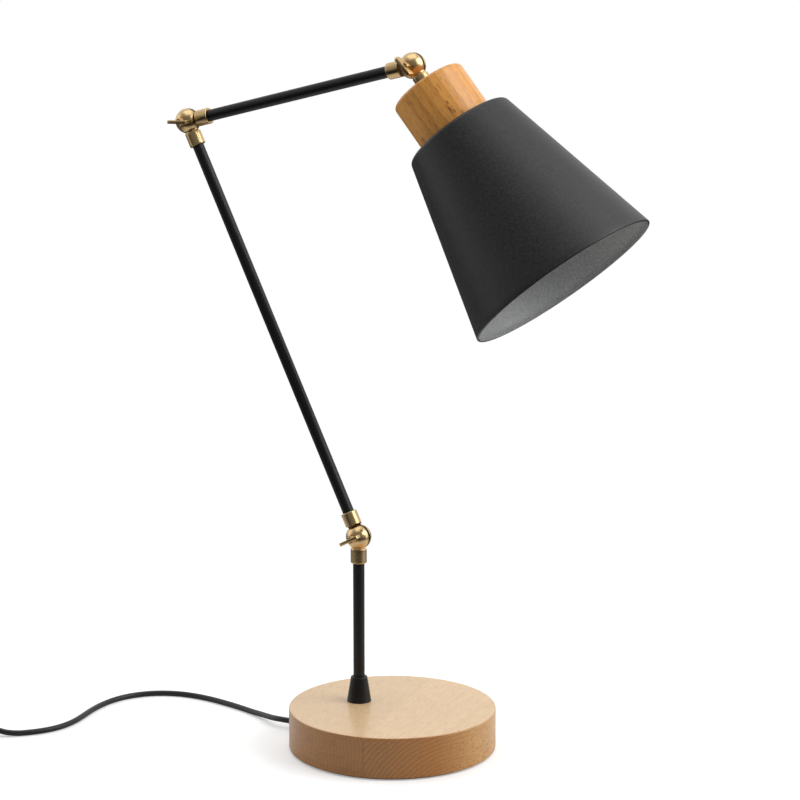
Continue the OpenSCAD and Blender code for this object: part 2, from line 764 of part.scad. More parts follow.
module switch_cover() {
    color(black_plastic) on_switch() difference() {
        union() {
            difference() {
                switch_block(switch_axis_z, switch_h);
                switch_hollow(0, switch_h - switch_shell_t);
            }
            at_switch_screws() translate([0, 0, switch_axis_z])
                cylinder(d = switch_screw_boss_d, h = switch_screw_bite + cut);
            for (side = [-1, 1])
                translate([(switch_len - cheek_w) / 2, side > 0 ? cheek_y : -cheek_y - cheek_t, cheek_z])
                    cube([cheek_w, cheek_t, switch_h - cheek_z - cut]);
        }
        switch_cord_hole();
        translate([(switch_len - rocker_size.x) / 2 - rocker_gap, -cheek_y, 0])
            cube([rocker_size.x + 2 * rocker_gap, 2 * cheek_y, switch_h + cut]);
        translate([switch_len / 2, 0, rocker_axle_z]) rotate([90, 0, 0])
            cylinder(r = rocker_axle_d / 2 + running, h = rocker_axle_len + 2 * running, center = true);
        at_switch_screws() translate([0, 0, switch_axis_z - cut])
            cylinder(d = switch_screw_d + 2 * fit, h = switch_screw_bite + cut + loose);
    }
}

module switch_screws() {
    color(steel) on_switch() at_switch_screws() translate([0, 0, switch_screw_sink]) {
        cylinder(d = 2 * switch_screw_d - 2 * loose, h = switch_shell_t - switch_screw_sink);
        cylinder(d = switch_screw_d, h = switch_axis_z + switch_screw_bite - switch_screw_sink);
    }
}

// Rocker with its axle: two slopes that meet over the axle, pressed down at the far end
module switch_rocker() {
    half = rocker_size.x / 2;
    top = rocker_size.z / 2;
    color(black_plastic) on_switch() translate([switch_len / 2, 0, rocker_axle_z])
        rotate([0, rocker_tilt, 0]) {
        translate([0, rocker_size.y / 2, 0]) rotate([90, 0, 0]) linear_extrude(rocker_size.y)
            polygon([
                [-half, rocker_chamfer - top], [-half / 2, -top], [half / 2, -top],
                [half, rocker_chamfer - top],
                [half, top + rocker_horn], [0, top - rocker_dip], [-half, top + rocker_horn]
            ]);
        rotate([90, 0, 0]) cylinder(d = rocker_axle_d, h = rocker_axle_len - 2 * loose, center = true);
    }
}

module cord_coil()
    color(black_plastic) swept_tube(coil_route, cord_r, coil_sides, [0, 0, 1]);

// Strap round the turns, on the side of the coil away from its climb
module cord_tie() {
    turn_at = 0.75;
    inner_r = coil_radius(turn_at + coil_turns - 1) - cord_r - tie_clear;
    outer_r = coil_radius(turn_at) + cord_r + tie_clear;
    high = coil_pitch + cord_d + 2 * tie_clear;
    color(felt_grey) translate([coil_middle.x, coil_middle.y, tie_t]) rotate([0, 0, switch_turn + 180])
        translate([inner_r, tie_w / 2, 0]) rotate([90, 0, 0]) linear_extrude(tie_w) difference() {
            translate([-tie_t, -tie_t])
                rounded_rect(outer_r - inner_r + 2 * tie_t, high + 2 * tie_t, tie_t + tie_clear);
            rounded_rect(outer_r - inner_r, high, tie_clear);
        }
}

// Flat two-pin plug: a round neck on the cord, then a body that narrows to the pins
module plug_body() {
    neck_len = plug_neck[2];
    color(black_plastic) on_plug() translate([0, 0, plug_axis_z]) difference() {
        union() {
            rotate([0, 90, 0]) cylinder(d2 = plug_neck[0], d1 = plug_neck[1], h = neck_len + cut);
            intersection() {
                translate([neck_len, 0, -plug_t / 2]) linear_extrude(plug_t) polygon([
                    [0, -plug_neck[0] / 2], [plug_shoulder, -plug_back_w / 2],
                    [plug_shoulder + plug_waist, -plug_back_w / 2], [plug_len, -plug_face_w / 2],
                    [plug_len, plug_face_w / 2], [plug_shoulder + plug_waist, plug_back_w / 2],
                    [plug_shoulder, plug_back_w / 2], [0, plug_neck[0] / 2]
                ]);
                translate([neck_len, -plug_back_w / 2, -plug_t / 2]) rotate([90, 0, 90])
                    linear_extrude(plug_len) rounded_rect(plug_back_w, plug_t, plug_edge);
            }
        }
        translate([-cut, 0, 0]) rotate([0, 90, 0]) cylinder(d = cord_d + 2 * fit, h = plug_grip + cut);
        for (side = [-1, 1]) translate([neck_len + plug_len - pin_root_len, side * pin_pitch / 2, 0])
            rotate([0, 90, 0]) cylinder(d = pin_root_d + 2 * fit, h = pin_root_len + cut);
    }
}

// Each pin has a thinner root in the body
module plug_pins() {
    face_x = plug_neck[2] + plug_len;
    straight = pin_len - pin_d / 2;
    color(steel) on_plug() for (side = [-1, 1])
        translate([face_x, side * pin_pitch / 2, plug_axis_z]) rotate([0, 90, 0]) {
            translate([0, 0, -pin_root_len]) cylinder(d = pin_root_d, h = pin_root_len + cut);
            cylinder(d = pin_d, h = straight);
            translate([0, 0, straight]) sphere(d = pin_d);
        }
}

base_disc();
base_plate();
base_felt();
base_weight();
weight_screws();
plate_screws();
post_collar();
post_tube();
post_washer();
post_nut();
post_wires();
cord_bushing();
lower_knuckle_post_half();
lower_knuckle_arm_half();
lower_friction_washer();
lower_arm_tube();
lower_arm_wires();
elbow_lower_half();
elbow_upper_half();
elbow_friction_washer();
upper_arm_tube();
upper_arm_wires();
head_knuckle_arm_half();
head_knuckle_shade_half();
head_friction_washer();
head_nipple();
head_wires();
nipple_nut();
cap();
lampholder_cap();
lampholder_sleeve();
socket_shell();
socket_contact();
shade();
shade_ring();
lower_wing_screw();
elbow_wing_screw();
head_wing_screw();
power_cord();
switch_base();
switch_cover();
switch_screws();
switch_rocker();
cord_coil();
cord_tie();
plug_body();
plug_pins();
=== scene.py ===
import bpy, bmesh, json, math
import numpy as np
from functools import partial
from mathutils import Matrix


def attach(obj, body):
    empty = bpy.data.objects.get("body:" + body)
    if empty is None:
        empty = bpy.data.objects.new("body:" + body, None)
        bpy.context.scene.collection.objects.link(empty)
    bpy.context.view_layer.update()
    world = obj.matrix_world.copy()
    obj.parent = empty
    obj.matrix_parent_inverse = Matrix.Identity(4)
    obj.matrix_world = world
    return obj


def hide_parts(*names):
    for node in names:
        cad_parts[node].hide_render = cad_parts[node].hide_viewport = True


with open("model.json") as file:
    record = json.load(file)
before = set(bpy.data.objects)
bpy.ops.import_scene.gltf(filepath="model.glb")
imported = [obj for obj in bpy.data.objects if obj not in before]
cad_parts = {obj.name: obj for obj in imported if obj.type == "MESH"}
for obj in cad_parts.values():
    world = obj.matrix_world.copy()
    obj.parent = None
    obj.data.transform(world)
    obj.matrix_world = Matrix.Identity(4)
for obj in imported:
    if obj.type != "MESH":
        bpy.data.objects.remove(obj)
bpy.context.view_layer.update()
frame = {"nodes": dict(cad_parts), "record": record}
scene = bpy.context.scene
scene.view_settings.view_transform = "Standard"
mm = 0.001
print("frame loaded:", len(frame["nodes"]), "nodes")

# camera at the photograph's place, fitted to the base, the knuckles and the shade
viewPoint = {"place": (0.9714, -1.8195, 0.6949), "down": 10.629, "turn": 27.913, "lens": 111.06, "sensor": 36,
             "clipEnd": 200}
lens = bpy.data.cameras.new("photoCamera")
lens.lens, lens.sensor_width, lens.clip_end = (viewPoint[key] for key in ("lens", "sensor", "clipEnd"))
camera = bpy.data.objects.new("photoCamera", lens)
camera.location = viewPoint["place"]
camera.rotation_euler = (math.radians(90 - viewPoint["down"]), 0, math.radians(viewPoint["turn"]))
scene.collection.objects.link(camera)
scene.camera = camera


def inMm(sizes):
    # a dictionary written in millimetres, turned to metres
    return {key: tuple(v * mm for v in size) if isinstance(size, tuple) else size * mm
            for key, size in sizes.items()}


def linearColour(code):
    # sRGB byte to linear light, by the standard's two-part curve
    byte = np.array([int(code[i:i + 2], 16) for i in (1, 3, 5)]) / 255
    linear = np.where(byte <= 0.04045, byte / 12.92, ((byte + 0.055) / 1.055) ** 2.4)
    return (*linear.tolist(), 1.0)


def addNode(tree, kind, inputs=None, out=0, **settings):
    # one shader node: settings, then a link, a hex colour or a value per input; out=None gives the node itself
    node = tree.nodes.new("ShaderNode" + kind)
    for key, value in settings.items():
        setattr(node, key, value)
    for key, value in (inputs or {}).items():
        if isinstance(value, bpy.types.NodeSocket):
            tree.links.new(value, node.inputs[key])
        else:
            node.inputs[key].default_value = linearColour(value) if isinstance(value, str) else value
    return node if out is None else node.outputs[out]


colourMix = {"out": 2, "data_type": "RGBA"}  # a Mix node that blends colours 6 and 7
smooth = {"interpolation_type": "SMOOTHSTEP"}  # a MapRange node with soft ends


def startMaterial(name, **sockets):
    # a Principled material with its constant sockets set, and what adds nodes to it
    material = bpy.data.materials.new(name)
    material.use_nodes = True
    shader = material.node_tree.nodes["Principled BSDF"]
    for key, value in sockets.items():
        shader.inputs[key.replace("_", " ")].default_value = value
    return material, partial(addNode, material.node_tree)


def endMaterial(material, colour, rough, height, strength, deep=0.1 * mm):
    # links what varies over the surface to the shader, with a bump from the height
    tree = material.node_tree
    bump = addNode(tree, "Bump", {"Strength": strength, "Distance": deep, "Height": height})
    for key, value in (("Base Color", colour), ("Roughness", rough), ("Normal", bump)):
        tree.links.new(value, tree.nodes["Principled BSDF"].inputs[key])
    return material


def unit(v):
    v = np.asarray(v, float)
    return v / np.linalg.norm(v, axis=-1, keepdims=True)


def wayAt(degrees, rise):
    # unit direction turned from +X towards +Y, on the table (rise 1), or towards +Z (rise 2)
    way = np.zeros(3)
    way[0], way[rise] = math.cos(math.radians(degrees)), math.sin(math.radians(degrees))
    return way


def ease(t):
    # even blend from 0 to 1: t squared times (3 - 2t), held at both ends
    t = np.clip(t, 0, 1)
    return t * t * (3 - 2 * t)


def smoothPath(points, steps):
    # Catmull-Rom: each span is a cubic through its two ends, with slopes taken from their neighbours
    points = np.asarray(points, float)
    padded = np.vstack([2 * points[:1] - points[1:2], points, 2 * points[-1:] - points[-2:-1]])
    a, b, c, d = (padded[i:len(points) - 1 + i, None, :] for i in range(4))
    t = np.linspace(0, 1, steps, endpoint=False)[None, :, None]
    curve = 0.5 * (2 * b + (c - a) * t + (2 * a - 5 * b + 4 * c - d) * t ** 2
                   + (3 * b - a - 3 * c + d) * t ** 3)
    return np.vstack([curve.reshape(-1, 3), points[-1:]])


def sized(sizes, rows):
    # rows of numbers, in which a name stands for that size of the piece
    return np.array([[sizes.get(v, v) for v in row] for row in rows], float)


def roundedProfile(sizes, corners, arcSteps=6):
    # corners (radius, height, rounding): each rounded one becomes an arc that touches both of its sides,
    # with a point close by on each side so that flats shade flat
    corners = sized(sizes, corners)
    line = [corners[:1, :2]]
    for before, here, after in zip(corners[:-2], corners[1:-1], corners[2:]):
        if here[2] <= 0:
            line.append(here[None, :2])
            continue
        back, on = unit(before[:2] - here[:2]), unit(after[:2] - here[:2])
        half = 0.5 * math.acos(np.clip(back @ on, -1, 1))
        reach = here[2] / math.tan(half)
        middle = here[:2] + unit(back + on) * here[2] / math.sin(half)
        first, last = here[:2] + back * reach, here[:2] + on * reach
        sweep = math.pi - 2 * half
        s = np.linspace(0, 1, arcSteps + 1)[:, None]
        arc = middle + (np.sin((1 - s) * sweep) * (first - middle)
                        + np.sin(s * sweep) * (last - middle)) / math.sin(sweep)
        line += [(first + 0.5 * here[2] * back)[None], arc, (last + 0.5 * here[2] * on)[None]]
    return np.vstack(line + [corners[-1:, :2]])


def latheGrid(profile, steps, origin, axis, side=(0, 1, 0)):
    # the profile turned about the axis: origin + height * axis + radius * (cos a * side + sin a * across)
    axis, side = unit(axis), unit(side)
    turn = np.arange(steps) * 2 * np.pi / steps
    rim = np.cos(turn)[:, None] * side + np.sin(turn)[:, None] * np.cross(axis, side)
    profile = np.asarray(profile, float)
    return np.asarray(origin) + profile[:, 1, None, None] * axis + profile[:, 0, None, None] * rim


def tubeGrid(path, radius, sides):
    # a circle carried along the path, its sides level with the table, closed to a point at each end
    along = unit(np.gradient(path, axis=0))
    level = unit(np.cross(along, (0, 0, 1)))
    rise = np.cross(level, along)
    turn = np.arange(sides) * 2 * np.pi / sides
    ring = np.cos(turn)[None, :, None] * level[:, None] + np.sin(turn)[None, :, None] * rise[:, None]
    wall = path[:, None] + radius * ring
    return np.concatenate([wall[:1] * 0 + path[0], wall, wall[:1] * 0 + path[-1]])


def roundRect(width, height, corner, steps=5):
    # outline of a rectangle with round corners: a quarter arc about each corner's middle, anticlockwise
    quarter = np.linspace(0, np.pi / 2, steps + 1)
    turn = (quarter[None] + np.arange(4)[:, None] * np.pi / 2).ravel()
    signs = np.repeat([[1, 1], [-1, 1], [-1, -1], [1, -1]], steps + 1, axis=0)
    arcs = corner * np.stack([np.cos(turn), np.sin(turn)], 1)
    return signs * (np.array([width, height]) / 2 - corner) + arcs


def slabGrid(size, corner, edge, origin, along, across, normal):
    # outlines of a rounded rectangle stacked through its thickness, drawn in by a quarter circle at both edges
    length, width, thick = size
    flat, sharpest = 1.6 * edge, 0.05 * mm  # ring just inside each flat, least corner
    s = np.linspace(0, np.pi / 2, 5)
    draw = np.concatenate([[flat], edge * (1 - np.sin(s)), edge * (1 - np.cos(s)), [flat]])
    height = np.concatenate([[-thick / 2], -thick / 2 + edge * (1 - np.cos(s)),
                             thick / 2 - edge * (1 - np.sin(s)), [thick / 2]])
    rings = np.stack([roundRect(length - 2 * d, width - 2 * d, max(corner - d, sharpest)) for d in draw])
    rings = np.concatenate([rings[:1] * 0, rings, rings[:1] * 0])
    height = np.concatenate([height[:1], height, height[-1:]])
    return (np.asarray(origin) + rings[..., :1] * unit(along) + rings[..., 1:] * unit(across)
            + height[:, None, None] * unit(normal))


def gridFaces(rows, columns, loop):
    # quads between neighbouring rows; columns always close, rows close where the grid is a loop
    i, j = np.arange(rows if loop else rows - 1)[:, None], np.arange(columns)[None]
    down, on = (i + 1) % rows, (j + 1) % columns
    corners = [i * columns + j, i * columns + on, down * columns + on, down * columns + j]
    return np.stack(corners, -1).reshape(-1, 4)


def makePiece(name, body, slotName, grids, replaced, finishes=None, sharp=35, loop=False, rowMaterial=None):
    # puts the grids into one mesh, closes seams and poles, turns faces outwards and keeps sharp edges sharp; it has
    # its slot's finish unless others are given
    points, faces, start = [], [], 0
    for grid in grids:
        points.append(grid.reshape(-1, 3))
        faces.append(gridFaces(*grid.shape[:2], loop) + start)
        start += len(points[-1])
    mesh = bpy.data.meshes.new(name)
    mesh.from_pydata(np.vstack(points).tolist(), [], np.vstack(faces).tolist())
    for finish in finishes or [finishOf[slotName]]:
        mesh.materials.append(finish)
    if rowMaterial is not None:
        mesh.polygons.foreach_set("material_index", np.repeat(rowMaterial, grids[0].shape[1]).astype(np.int32))
    work = bmesh.new()
    work.from_mesh(mesh)
    bmesh.ops.remove_doubles(work, verts=work.verts, dist=1e-6)
    bmesh.ops.recalc_face_normals(work, faces=work.faces)
    work.to_mesh(mesh)
    work.free()
    mesh.polygons.foreach_set("use_smooth", np.ones(len(mesh.polygons), bool))
    mesh.set_sharp_from_angle(angle=math.radians(sharp))
    piece = bpy.data.objects.new(name, mesh)
    scene.collection.objects.link(piece)
    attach(piece, body)
    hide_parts(*replaced)
    return piece


def turnPiece(name, body, slotName, profile, steps, origin, axis, node, finishes=None):
    # a piece from one profile turned about an axis
    makePiece(name, body, slotName, [latheGrid(profile, steps, origin, axis)], (node,), finishes)


def growthRings(add, wood, place, flat):
    # share of the way through a growth ring: distance from the heart, swayed by slow noise, over the ring's width
    radius = add("VectorMath", {0: flat}, "Value", operation="LENGTH")
    slow = add("Mapping", {0: place, "Scale": wood["swayScale"]})
    sway = add("TexNoise", {0: slow, "Scale": 1.0, "Detail": 3.0})
    bent = add("Math", {0: sway, 1: wood["sway"], 2: radius}, operation="MULTIPLY_ADD")
    count = add("Math", {0: bent, 1: wood["ring"]}, operation="DIVIDE")
    return add("Math", {0: count}, operation="FRACT")


# pale beech, planed and sanded under satin lacquer: an even cream tan on top, two staves with one joint, growth
# rings as curved brown lines on the end grain in front, short dark flecks along the grain, saw marks on the wall,
# painted shade over the whole wall and a painted golden sheen towards its right
def makePaleBeech():
    wood = inMm({"joint": 6.8, "glueLine": (0.25, 0.7), "ring": 3.4, "sway": 7, "heartX": (-160, 80),
                 "heartZ": (10, -30), "fleckWide": 0.9, "fleckLong": 10, "hatchWide": 1.2, "hatchLong": 14,
                 "paintedSheenFrom": 20, "paintedSheenTo": 70}) | {
        "grainTurn": -8.1, "grainWay": (-0.141, 0.99, 0), "paintedWallShade": 0.36,
        "swayScale": (30, 5, 30),  # per metre: sways of 33 mm across and 200 mm along the grain
        "patchScale": (220, 70, 220),  # patches of 4.5 by 14 mm
        "early": "#e1bf93", "late": "#b48450", "fleck": "#8d5a25", "end": "#d2a768", "pale": "#f3dcb6",
        "paintedSheen": "#fbeabf"}
    material, add = startMaterial("paleBeechSatinLacquer", IOR=1.5, Coat_Weight=0.35, Coat_Roughness=0.16)
    place = add("TexCoord", out=None).outputs
    turned = add("Mapping", {0: place["Object"], "Rotation": (0, 0, math.radians(wood["grainTurn"]))})
    across = add("SeparateXYZ", {0: turned})  # x runs across the grain, y along it
    stave = add("Math", {0: across, 1: wood["joint"]}, operation="GREATER_THAN")
    heartX = add("MapRange", {0: stave, 3: wood["heartX"][0], 4: wood["heartX"][1]})
    heartZ = add("MapRange", {0: stave, 3: wood["heartZ"][0], 4: wood["heartZ"][1]})
    heart = add("CombineXYZ", {0: heartX, 2: heartZ})
    offset = add("VectorMath", {0: turned, 1: heart}, operation="SUBTRACT")
    flat = add("VectorMath", {0: offset, 1: (1, 0, 1)}, operation="MULTIPLY")
    part = growthRings(add, wood, turned, flat)
    ring = add("MapRange", {0: part, 1: 0.5, 2: 1.0}, **smooth)
    fine = add("Mapping", {0: turned, "Scale": (  # flecks are really 0.3 mm wide, drawn wider to show
        1 / wood["fleckWide"], 1 / wood["fleckLong"], 1 / wood["fleckWide"])})
    speck = add("TexNoise", {0: fine, "Scale": 1.0, "Detail": 2.0})
    fleck = add("MapRange", {0: speck, 1: 0.57, 2: 0.68})
    facing = add("VectorMath", {0: place["Normal"], 1: wood["grainWay"]}, "Value", operation="DOT_PRODUCT")
    ends = add("Math", {0: facing}, operation="ABSOLUTE")
    endShare = add("MapRange", {0: ends, 1: 0.05, 2: 0.75, 4: 0.9})
    upward = add("SeparateXYZ", {0: place["Normal"]}, 2)
    level = add("Math", {0: upward}, operation="ABSOLUTE")
    wall = add("MapRange", {0: level, 3: 1.0, 4: 0.0})
    # painted shade: this share pulls every side face towards the end-grain colour, so the wall reads darker and
    # warmer than the top
    paintedWallShade = add("Math", {0: wall, 1: wood["paintedWallShade"]}, operation="MULTIPLY")
    # the stronger of the real end grain, on faces across the grain, and the painted shade on all side faces
    endGrainAndWallShade = add("Math", {0: endShare, 1: paintedWallShade}, operation="MAXIMUM")
    plainer = add("MapRange", {0: stave, 3: 0.5, 4: 1.0})
    ringSide = add("MapRange", {0: ends, 1: 0.3, 2: 0.95, 3: 0.08, 4: 0.7})
    ringShow = add("Math", {0: ringSide, 1: plainer}, operation="MULTIPLY")
    ringMix = add("Math", {0: ring, 1: ringShow}, operation="MULTIPLY")
    body = add("Mix", {0: ringMix, 6: wood["early"], 7: wood["late"]}, **colourMix)
    ended = add("Mix", {0: endGrainAndWallShade, 6: body, 7: wood["end"]}, **colourMix, blend_type="MULTIPLY")
    patch = add("Mapping", {0: turned, "Scale": wood["patchScale"]})
    mottle = add("TexNoise", {0: patch, "Scale": 1.0, "Detail": 4.0, "Roughness": 0.65})
    cloud = add("MapRange", {0: mottle, 1: 0.3, 2: 0.7, 3: 0.93, 4: 1.05})
    darker = add("MapRange", {0: stave, 3: 0.95, 4: 1.0})
    tone = add("Math", {0: cloud, 1: darker}, operation="MULTIPLY")
    toned = add("Mix", {0: 1.0, 6: ended, 7: tone}, **colourMix, blend_type="MULTIPLY")
    # painted sheen of the key light: a golden tint over the wall, growing towards its right
    right = add("MapRange", {0: across, 1: wood["paintedSheenFrom"], 2: wood["paintedSheenTo"]})
    paintedSheenShare = add("Math", {0: right, 1: wall}, operation="MULTIPLY")  # painted sheen: the wall is tinted golden towards its right, where the key light falls
    sheenPainted = add("Mix", {0: paintedSheenShare, 6: toned, 7: wood["paintedSheen"]}, **colourMix, blend_type="MULTIPLY")
    fleckShow = add("MapRange", {0: wall, 3: 0.2, 4: 0.85})
    fleckMix = add("Math", {0: fleck, 1: fleckShow}, operation="MULTIPLY")
    flatLines = add("Mapping", {0: turned, "Scale": (  # saw marks across the end grain
        1 / wood["hatchLong"], 1 / wood["hatchLong"], 1 / wood["hatchWide"])})
    marks = add("TexNoise", {0: flatLines, "Scale": 1.0, "Detail": 2.0})
    hatch = add("MapRange", {0: marks, 1: 0.48, 2: 0.7, 4: 0.4})
    hatchShow = add("MapRange", {0: stave, 3: 1.0, 4: 0.4})
    hatchWall = add("Math", {0: hatchShow, 1: wall}, operation="MULTIPLY")
    hatchMix = add("Math", {0: hatch, 1: hatchWall}, operation="MULTIPLY")
    markMix = add("Math", {0: fleckMix, 1: hatchMix}, operation="MAXIMUM")
    flecked = add("Mix", {0: markMix, 6: sheenPainted, 7: wood["fleck"]}, **colourMix)
    away = add("Math", {0: across, 1: wood["joint"]}, operation="SUBTRACT")
    near = add("Math", {0: away}, operation="ABSOLUTE")
    line = add("MapRange", {0: near, 1: wood["glueLine"][0], 2: wood["glueLine"][1], 3: 1.0, 4: 0.0})
    lineShow = add("MapRange", {0: ends, 1: 0.0, 2: 0.8, 3: 0.16, 4: 0.5})
    seam = add("Math", {0: line, 1: lineShow}, operation="MULTIPLY")
    glue = add("Mix", {0: wall, 6: wood["pale"], 7: wood["fleck"]}, **colourMix)  # pale on top, dark on the side
    colour = add("Mix", {0: seam, 6: flecked, 7: glue}, **colourMix)
    rough = add("MapRange", {0: speck, 3: 0.36, 4: 0.5})
    return endMaterial(material, colour, rough, speck, 0.12)


# darker beech of the turned cap, oiled and lacquered: honey colour, streaks and fine dark dashes along the axis,
# a few brown blots
def makeHoneyBeech():
    wood = inMm({"ring": 7, "sway": 9, "heart": (-330, 70, 0), "dashWide": 0.7, "dashLong": 6, "blotRagged": -2.4,
                 "blotFrom": -0.8, "blotDraw": 1.2}) | {
        "turn": 39, "alongAxis": 0.04, "swayScale": (60, 60, 12),  # per metre: sways of 17 mm by 83 mm
        "early": "#e6a24c", "late": "#b56a26", "dash": "#7c3b0c", "blot": "#75350d", "blotFlat": 0.5,
        "blots": ((68.1, -28, 558.1, 1.9), (65.5, -27.2, 563.1, 1.3), (71.5, -26.6, 556.4, 1.5),
                  (77.6, -23.5, 555.2, 1.4))}  # place and reach of each blot in mm
    material, add = startMaterial("honeyBeechLacquer", IOR=1.5, Coat_Weight=0.3, Coat_Roughness=0.2)
    lean = math.radians(wood["turn"])
    turned = add("Mapping", {0: add("TexCoord", out="Object"), "Rotation": (0, lean, 0)})
    heart = add("VectorMath", {0: turned, 1: wood["heart"]}, operation="ADD")
    flat = add("VectorMath", {0: heart, 1: (1, 1, wood["alongAxis"])}, operation="MULTIPLY")
    part = growthRings(add, wood, turned, flat)
    ring = add("MapRange", {0: part, 1: 0.2, 2: 1.0, 4: 0.42}, **smooth)
    body = add("Mix", {0: ring, 6: wood["early"], 7: wood["late"]}, **colourMix)
    fine = add("Mapping", {0: turned, "Scale": (  # dashes are really 0.2 mm wide, drawn wider to show
        1 / wood["dashWide"], 1 / wood["dashWide"], 1 / wood["dashLong"])})
    speck = add("TexNoise", {0: fine, "Scale": 1.0, "Detail": 2.0})
    dash = add("MapRange", {0: speck, 1: 0.56, 2: 0.7, 4: 0.62})
    colour = add("Mix", {0: dash, 6: body, 7: wood["dash"]}, **colourMix)
    squeeze = add("VectorMath", {0: turned, 1: (1, 1, wood["blotFlat"])}, operation="MULTIPLY")
    for spot in wood["blots"]:  # each blot's middle is turned the same way as the wood
        x, y, z, reach = (v * mm for v in spot)
        middle = (x * math.cos(lean) + z * math.sin(lean), y,
                  wood["blotFlat"] * (z * math.cos(lean) - x * math.sin(lean)))
        apart = add("VectorMath", {0: squeeze, 1: middle}, "Value", operation="DISTANCE")
        ragged = add("Math", {0: speck, 1: wood["blotRagged"], 2: apart}, operation="MULTIPLY_ADD")
        blot = add("MapRange", {0: ragged, 1: wood["blotFrom"], 2: reach - wood["blotDraw"], 3: 0.7, 4: 0.0})
        colour = add("Mix", {0: blot, 6: colour, 7: wood["blot"]}, **colourMix)
    rough = add("MapRange", {0: speck, 3: 0.34, 4: 0.5})
    return endMaterial(material, colour, rough, speck, 0.15)


# brass turned and polished, with faint buffing marks: soft stripes of the room, cream where a soft box shows, deep
# brown where the dark side of the room does
def makeBrass():
    metal = {"bright": "#dcc193", "warm": "#c9a772", "cloud": 120.0, "mark": 0.6 * mm}  # clouds of 8 mm
    material, add = startMaterial("polishedBrass", Metallic=1.0)
    place = add("TexCoord", out="Object")
    cloud = add("TexNoise", {0: place, "Scale": metal["cloud"], "Detail": 3.0})
    colour = add("Mix", {0: cloud, 6: metal["bright"], 7: metal["warm"]}, **colourMix)
    buff = add("TexNoise", {0: place, "Scale": 1 / metal["mark"], "Detail": 2.0})
    rough = add("MapRange", {0: cloud, 3: 0.26, 4: 0.31})
    return endMaterial(material, colour, rough, buff, 0.004, 0.05 * mm)


# sprayed or moulded finishes share one build: two close tones, a fine orange-peel or grit bump, uneven gloss
def makeSpeckled(name, low, high, grain, roughness, bumpShare, **sockets):
    material, add = startMaterial(name, **sockets)
    place = add("TexCoord", out="Object")
    grit = add("TexNoise", {0: place, "Scale": 1 / grain, "Detail": 3.0, "Roughness": 0.6})
    spread = add("MapRange", {0: grit, 1: 0.3, 2: 0.7})
    colour = add("Mix", {0: spread, 6: low, 7: high}, **colourMix)
    rough = add("MapRange", {0: grit, 1: 0.3, 2: 0.7, 3: roughness - 0.06, 4: roughness + 0.06})
    return endMaterial(material, colour, rough, grit, bumpShare)


finishOf = {  # by the record's material slots
    "pale_beech": makePaleBeech(), "honey_beech": makeHoneyBeech(), "brass": makeBrass(),
    # black powder coat on steel tube: satin black with a fine grit and a soft grey line of light
    "black_powder_coat": makeSpeckled("blackPowderCoatTube", "#0b0b0b", "#151515", 0.7 * mm, 0.4, 0.25,
                                      Specular_IOR_Level=0.35),
    # black PVC sheath of the cord, extruded: smooth satin
    "black_cable": makeSpeckled("blackPvcSheath", "#0e0e0e", "#151515", 1.5 * mm, 0.4, 0.06),
    # black ABS of switch and plug, moulded with a spark-eroded grain
    "black_plastic": makeSpeckled("blackMouldedAbs", "#17171a", "#212124", 0.6 * mm, 0.5, 0.3),
    # off-white heat-proof resin of the lampholder, moulded smooth
    "white_plastic": makeSpeckled("whiteMouldedResin", "#dedad0", "#e8e5dc", 2 * mm, 0.4, 0.05),
    # zinc-plated steel under the base and in the head, slightly clouded
    "steel": makeSpeckled("zincPlatedSteel", "#9fa3a6", "#b9bcbe", 3 * mm, 0.34, 0.05, Metallic=1.0),
    # wool felt, pressed: dark grey, no gloss, fluffy grit
    "felt": makeSpeckled("pressedWoolFelt", "#2c2c2e", "#454548", 0.8 * mm, 0.92, 0.9)}
blackAbs = finishOf["black_plastic"]
# black textured enamel of the shade: matte, grey speckle (really 0.5 mm, drawn coarser), a broad soft band of light
shadeOutside = makeSpeckled("blackTexturedEnamel", "#060607", "#28282b", 1.8 * mm, 0.46, 0.9)
# grey enamel inside the shade, with the same grit
shadeInside = makeSpeckled("greyTexturedEnamel", "#8e908f", "#b4b6b5", 1.6 * mm, 0.5, 0.5)
# nickel-plated plug pins: bright and nearly smooth
nickel = makeSpeckled("nickelPlate", "#c9c6bf", "#d6d3cc", 1 * mm, 0.2, 0.03, Metallic=1.0)
# woven strap of the cord tie: dull black with a coarse grit
wovenStrap = makeSpeckled("wovenNylonStrap", "#1d1d1f", "#39393c", 0.5 * mm, 0.8, 0.8)
# pressed fibre of the friction washers, dark and dull; its edge in the split of the balls is also painted shade for
# the gap
washerAndGapShade = makeSpeckled("pressedFibreAndGapShade", "#121212", "#241f1c", 0.4 * mm, 0.7, 0.3)
slotOf = {part["node"]: part["material_slot"] for part in frame["record"]["subparts"]}
for name, node in frame["nodes"].items():
    finish = washerAndGapShade if "friction" in name else finishOf[slotOf[name]]
    if not node.material_slots:
        node.data.materials.append(finish)
    for holder in node.material_slots:
        holder.material = finish
print("finishes made:", len(bpy.data.materials))

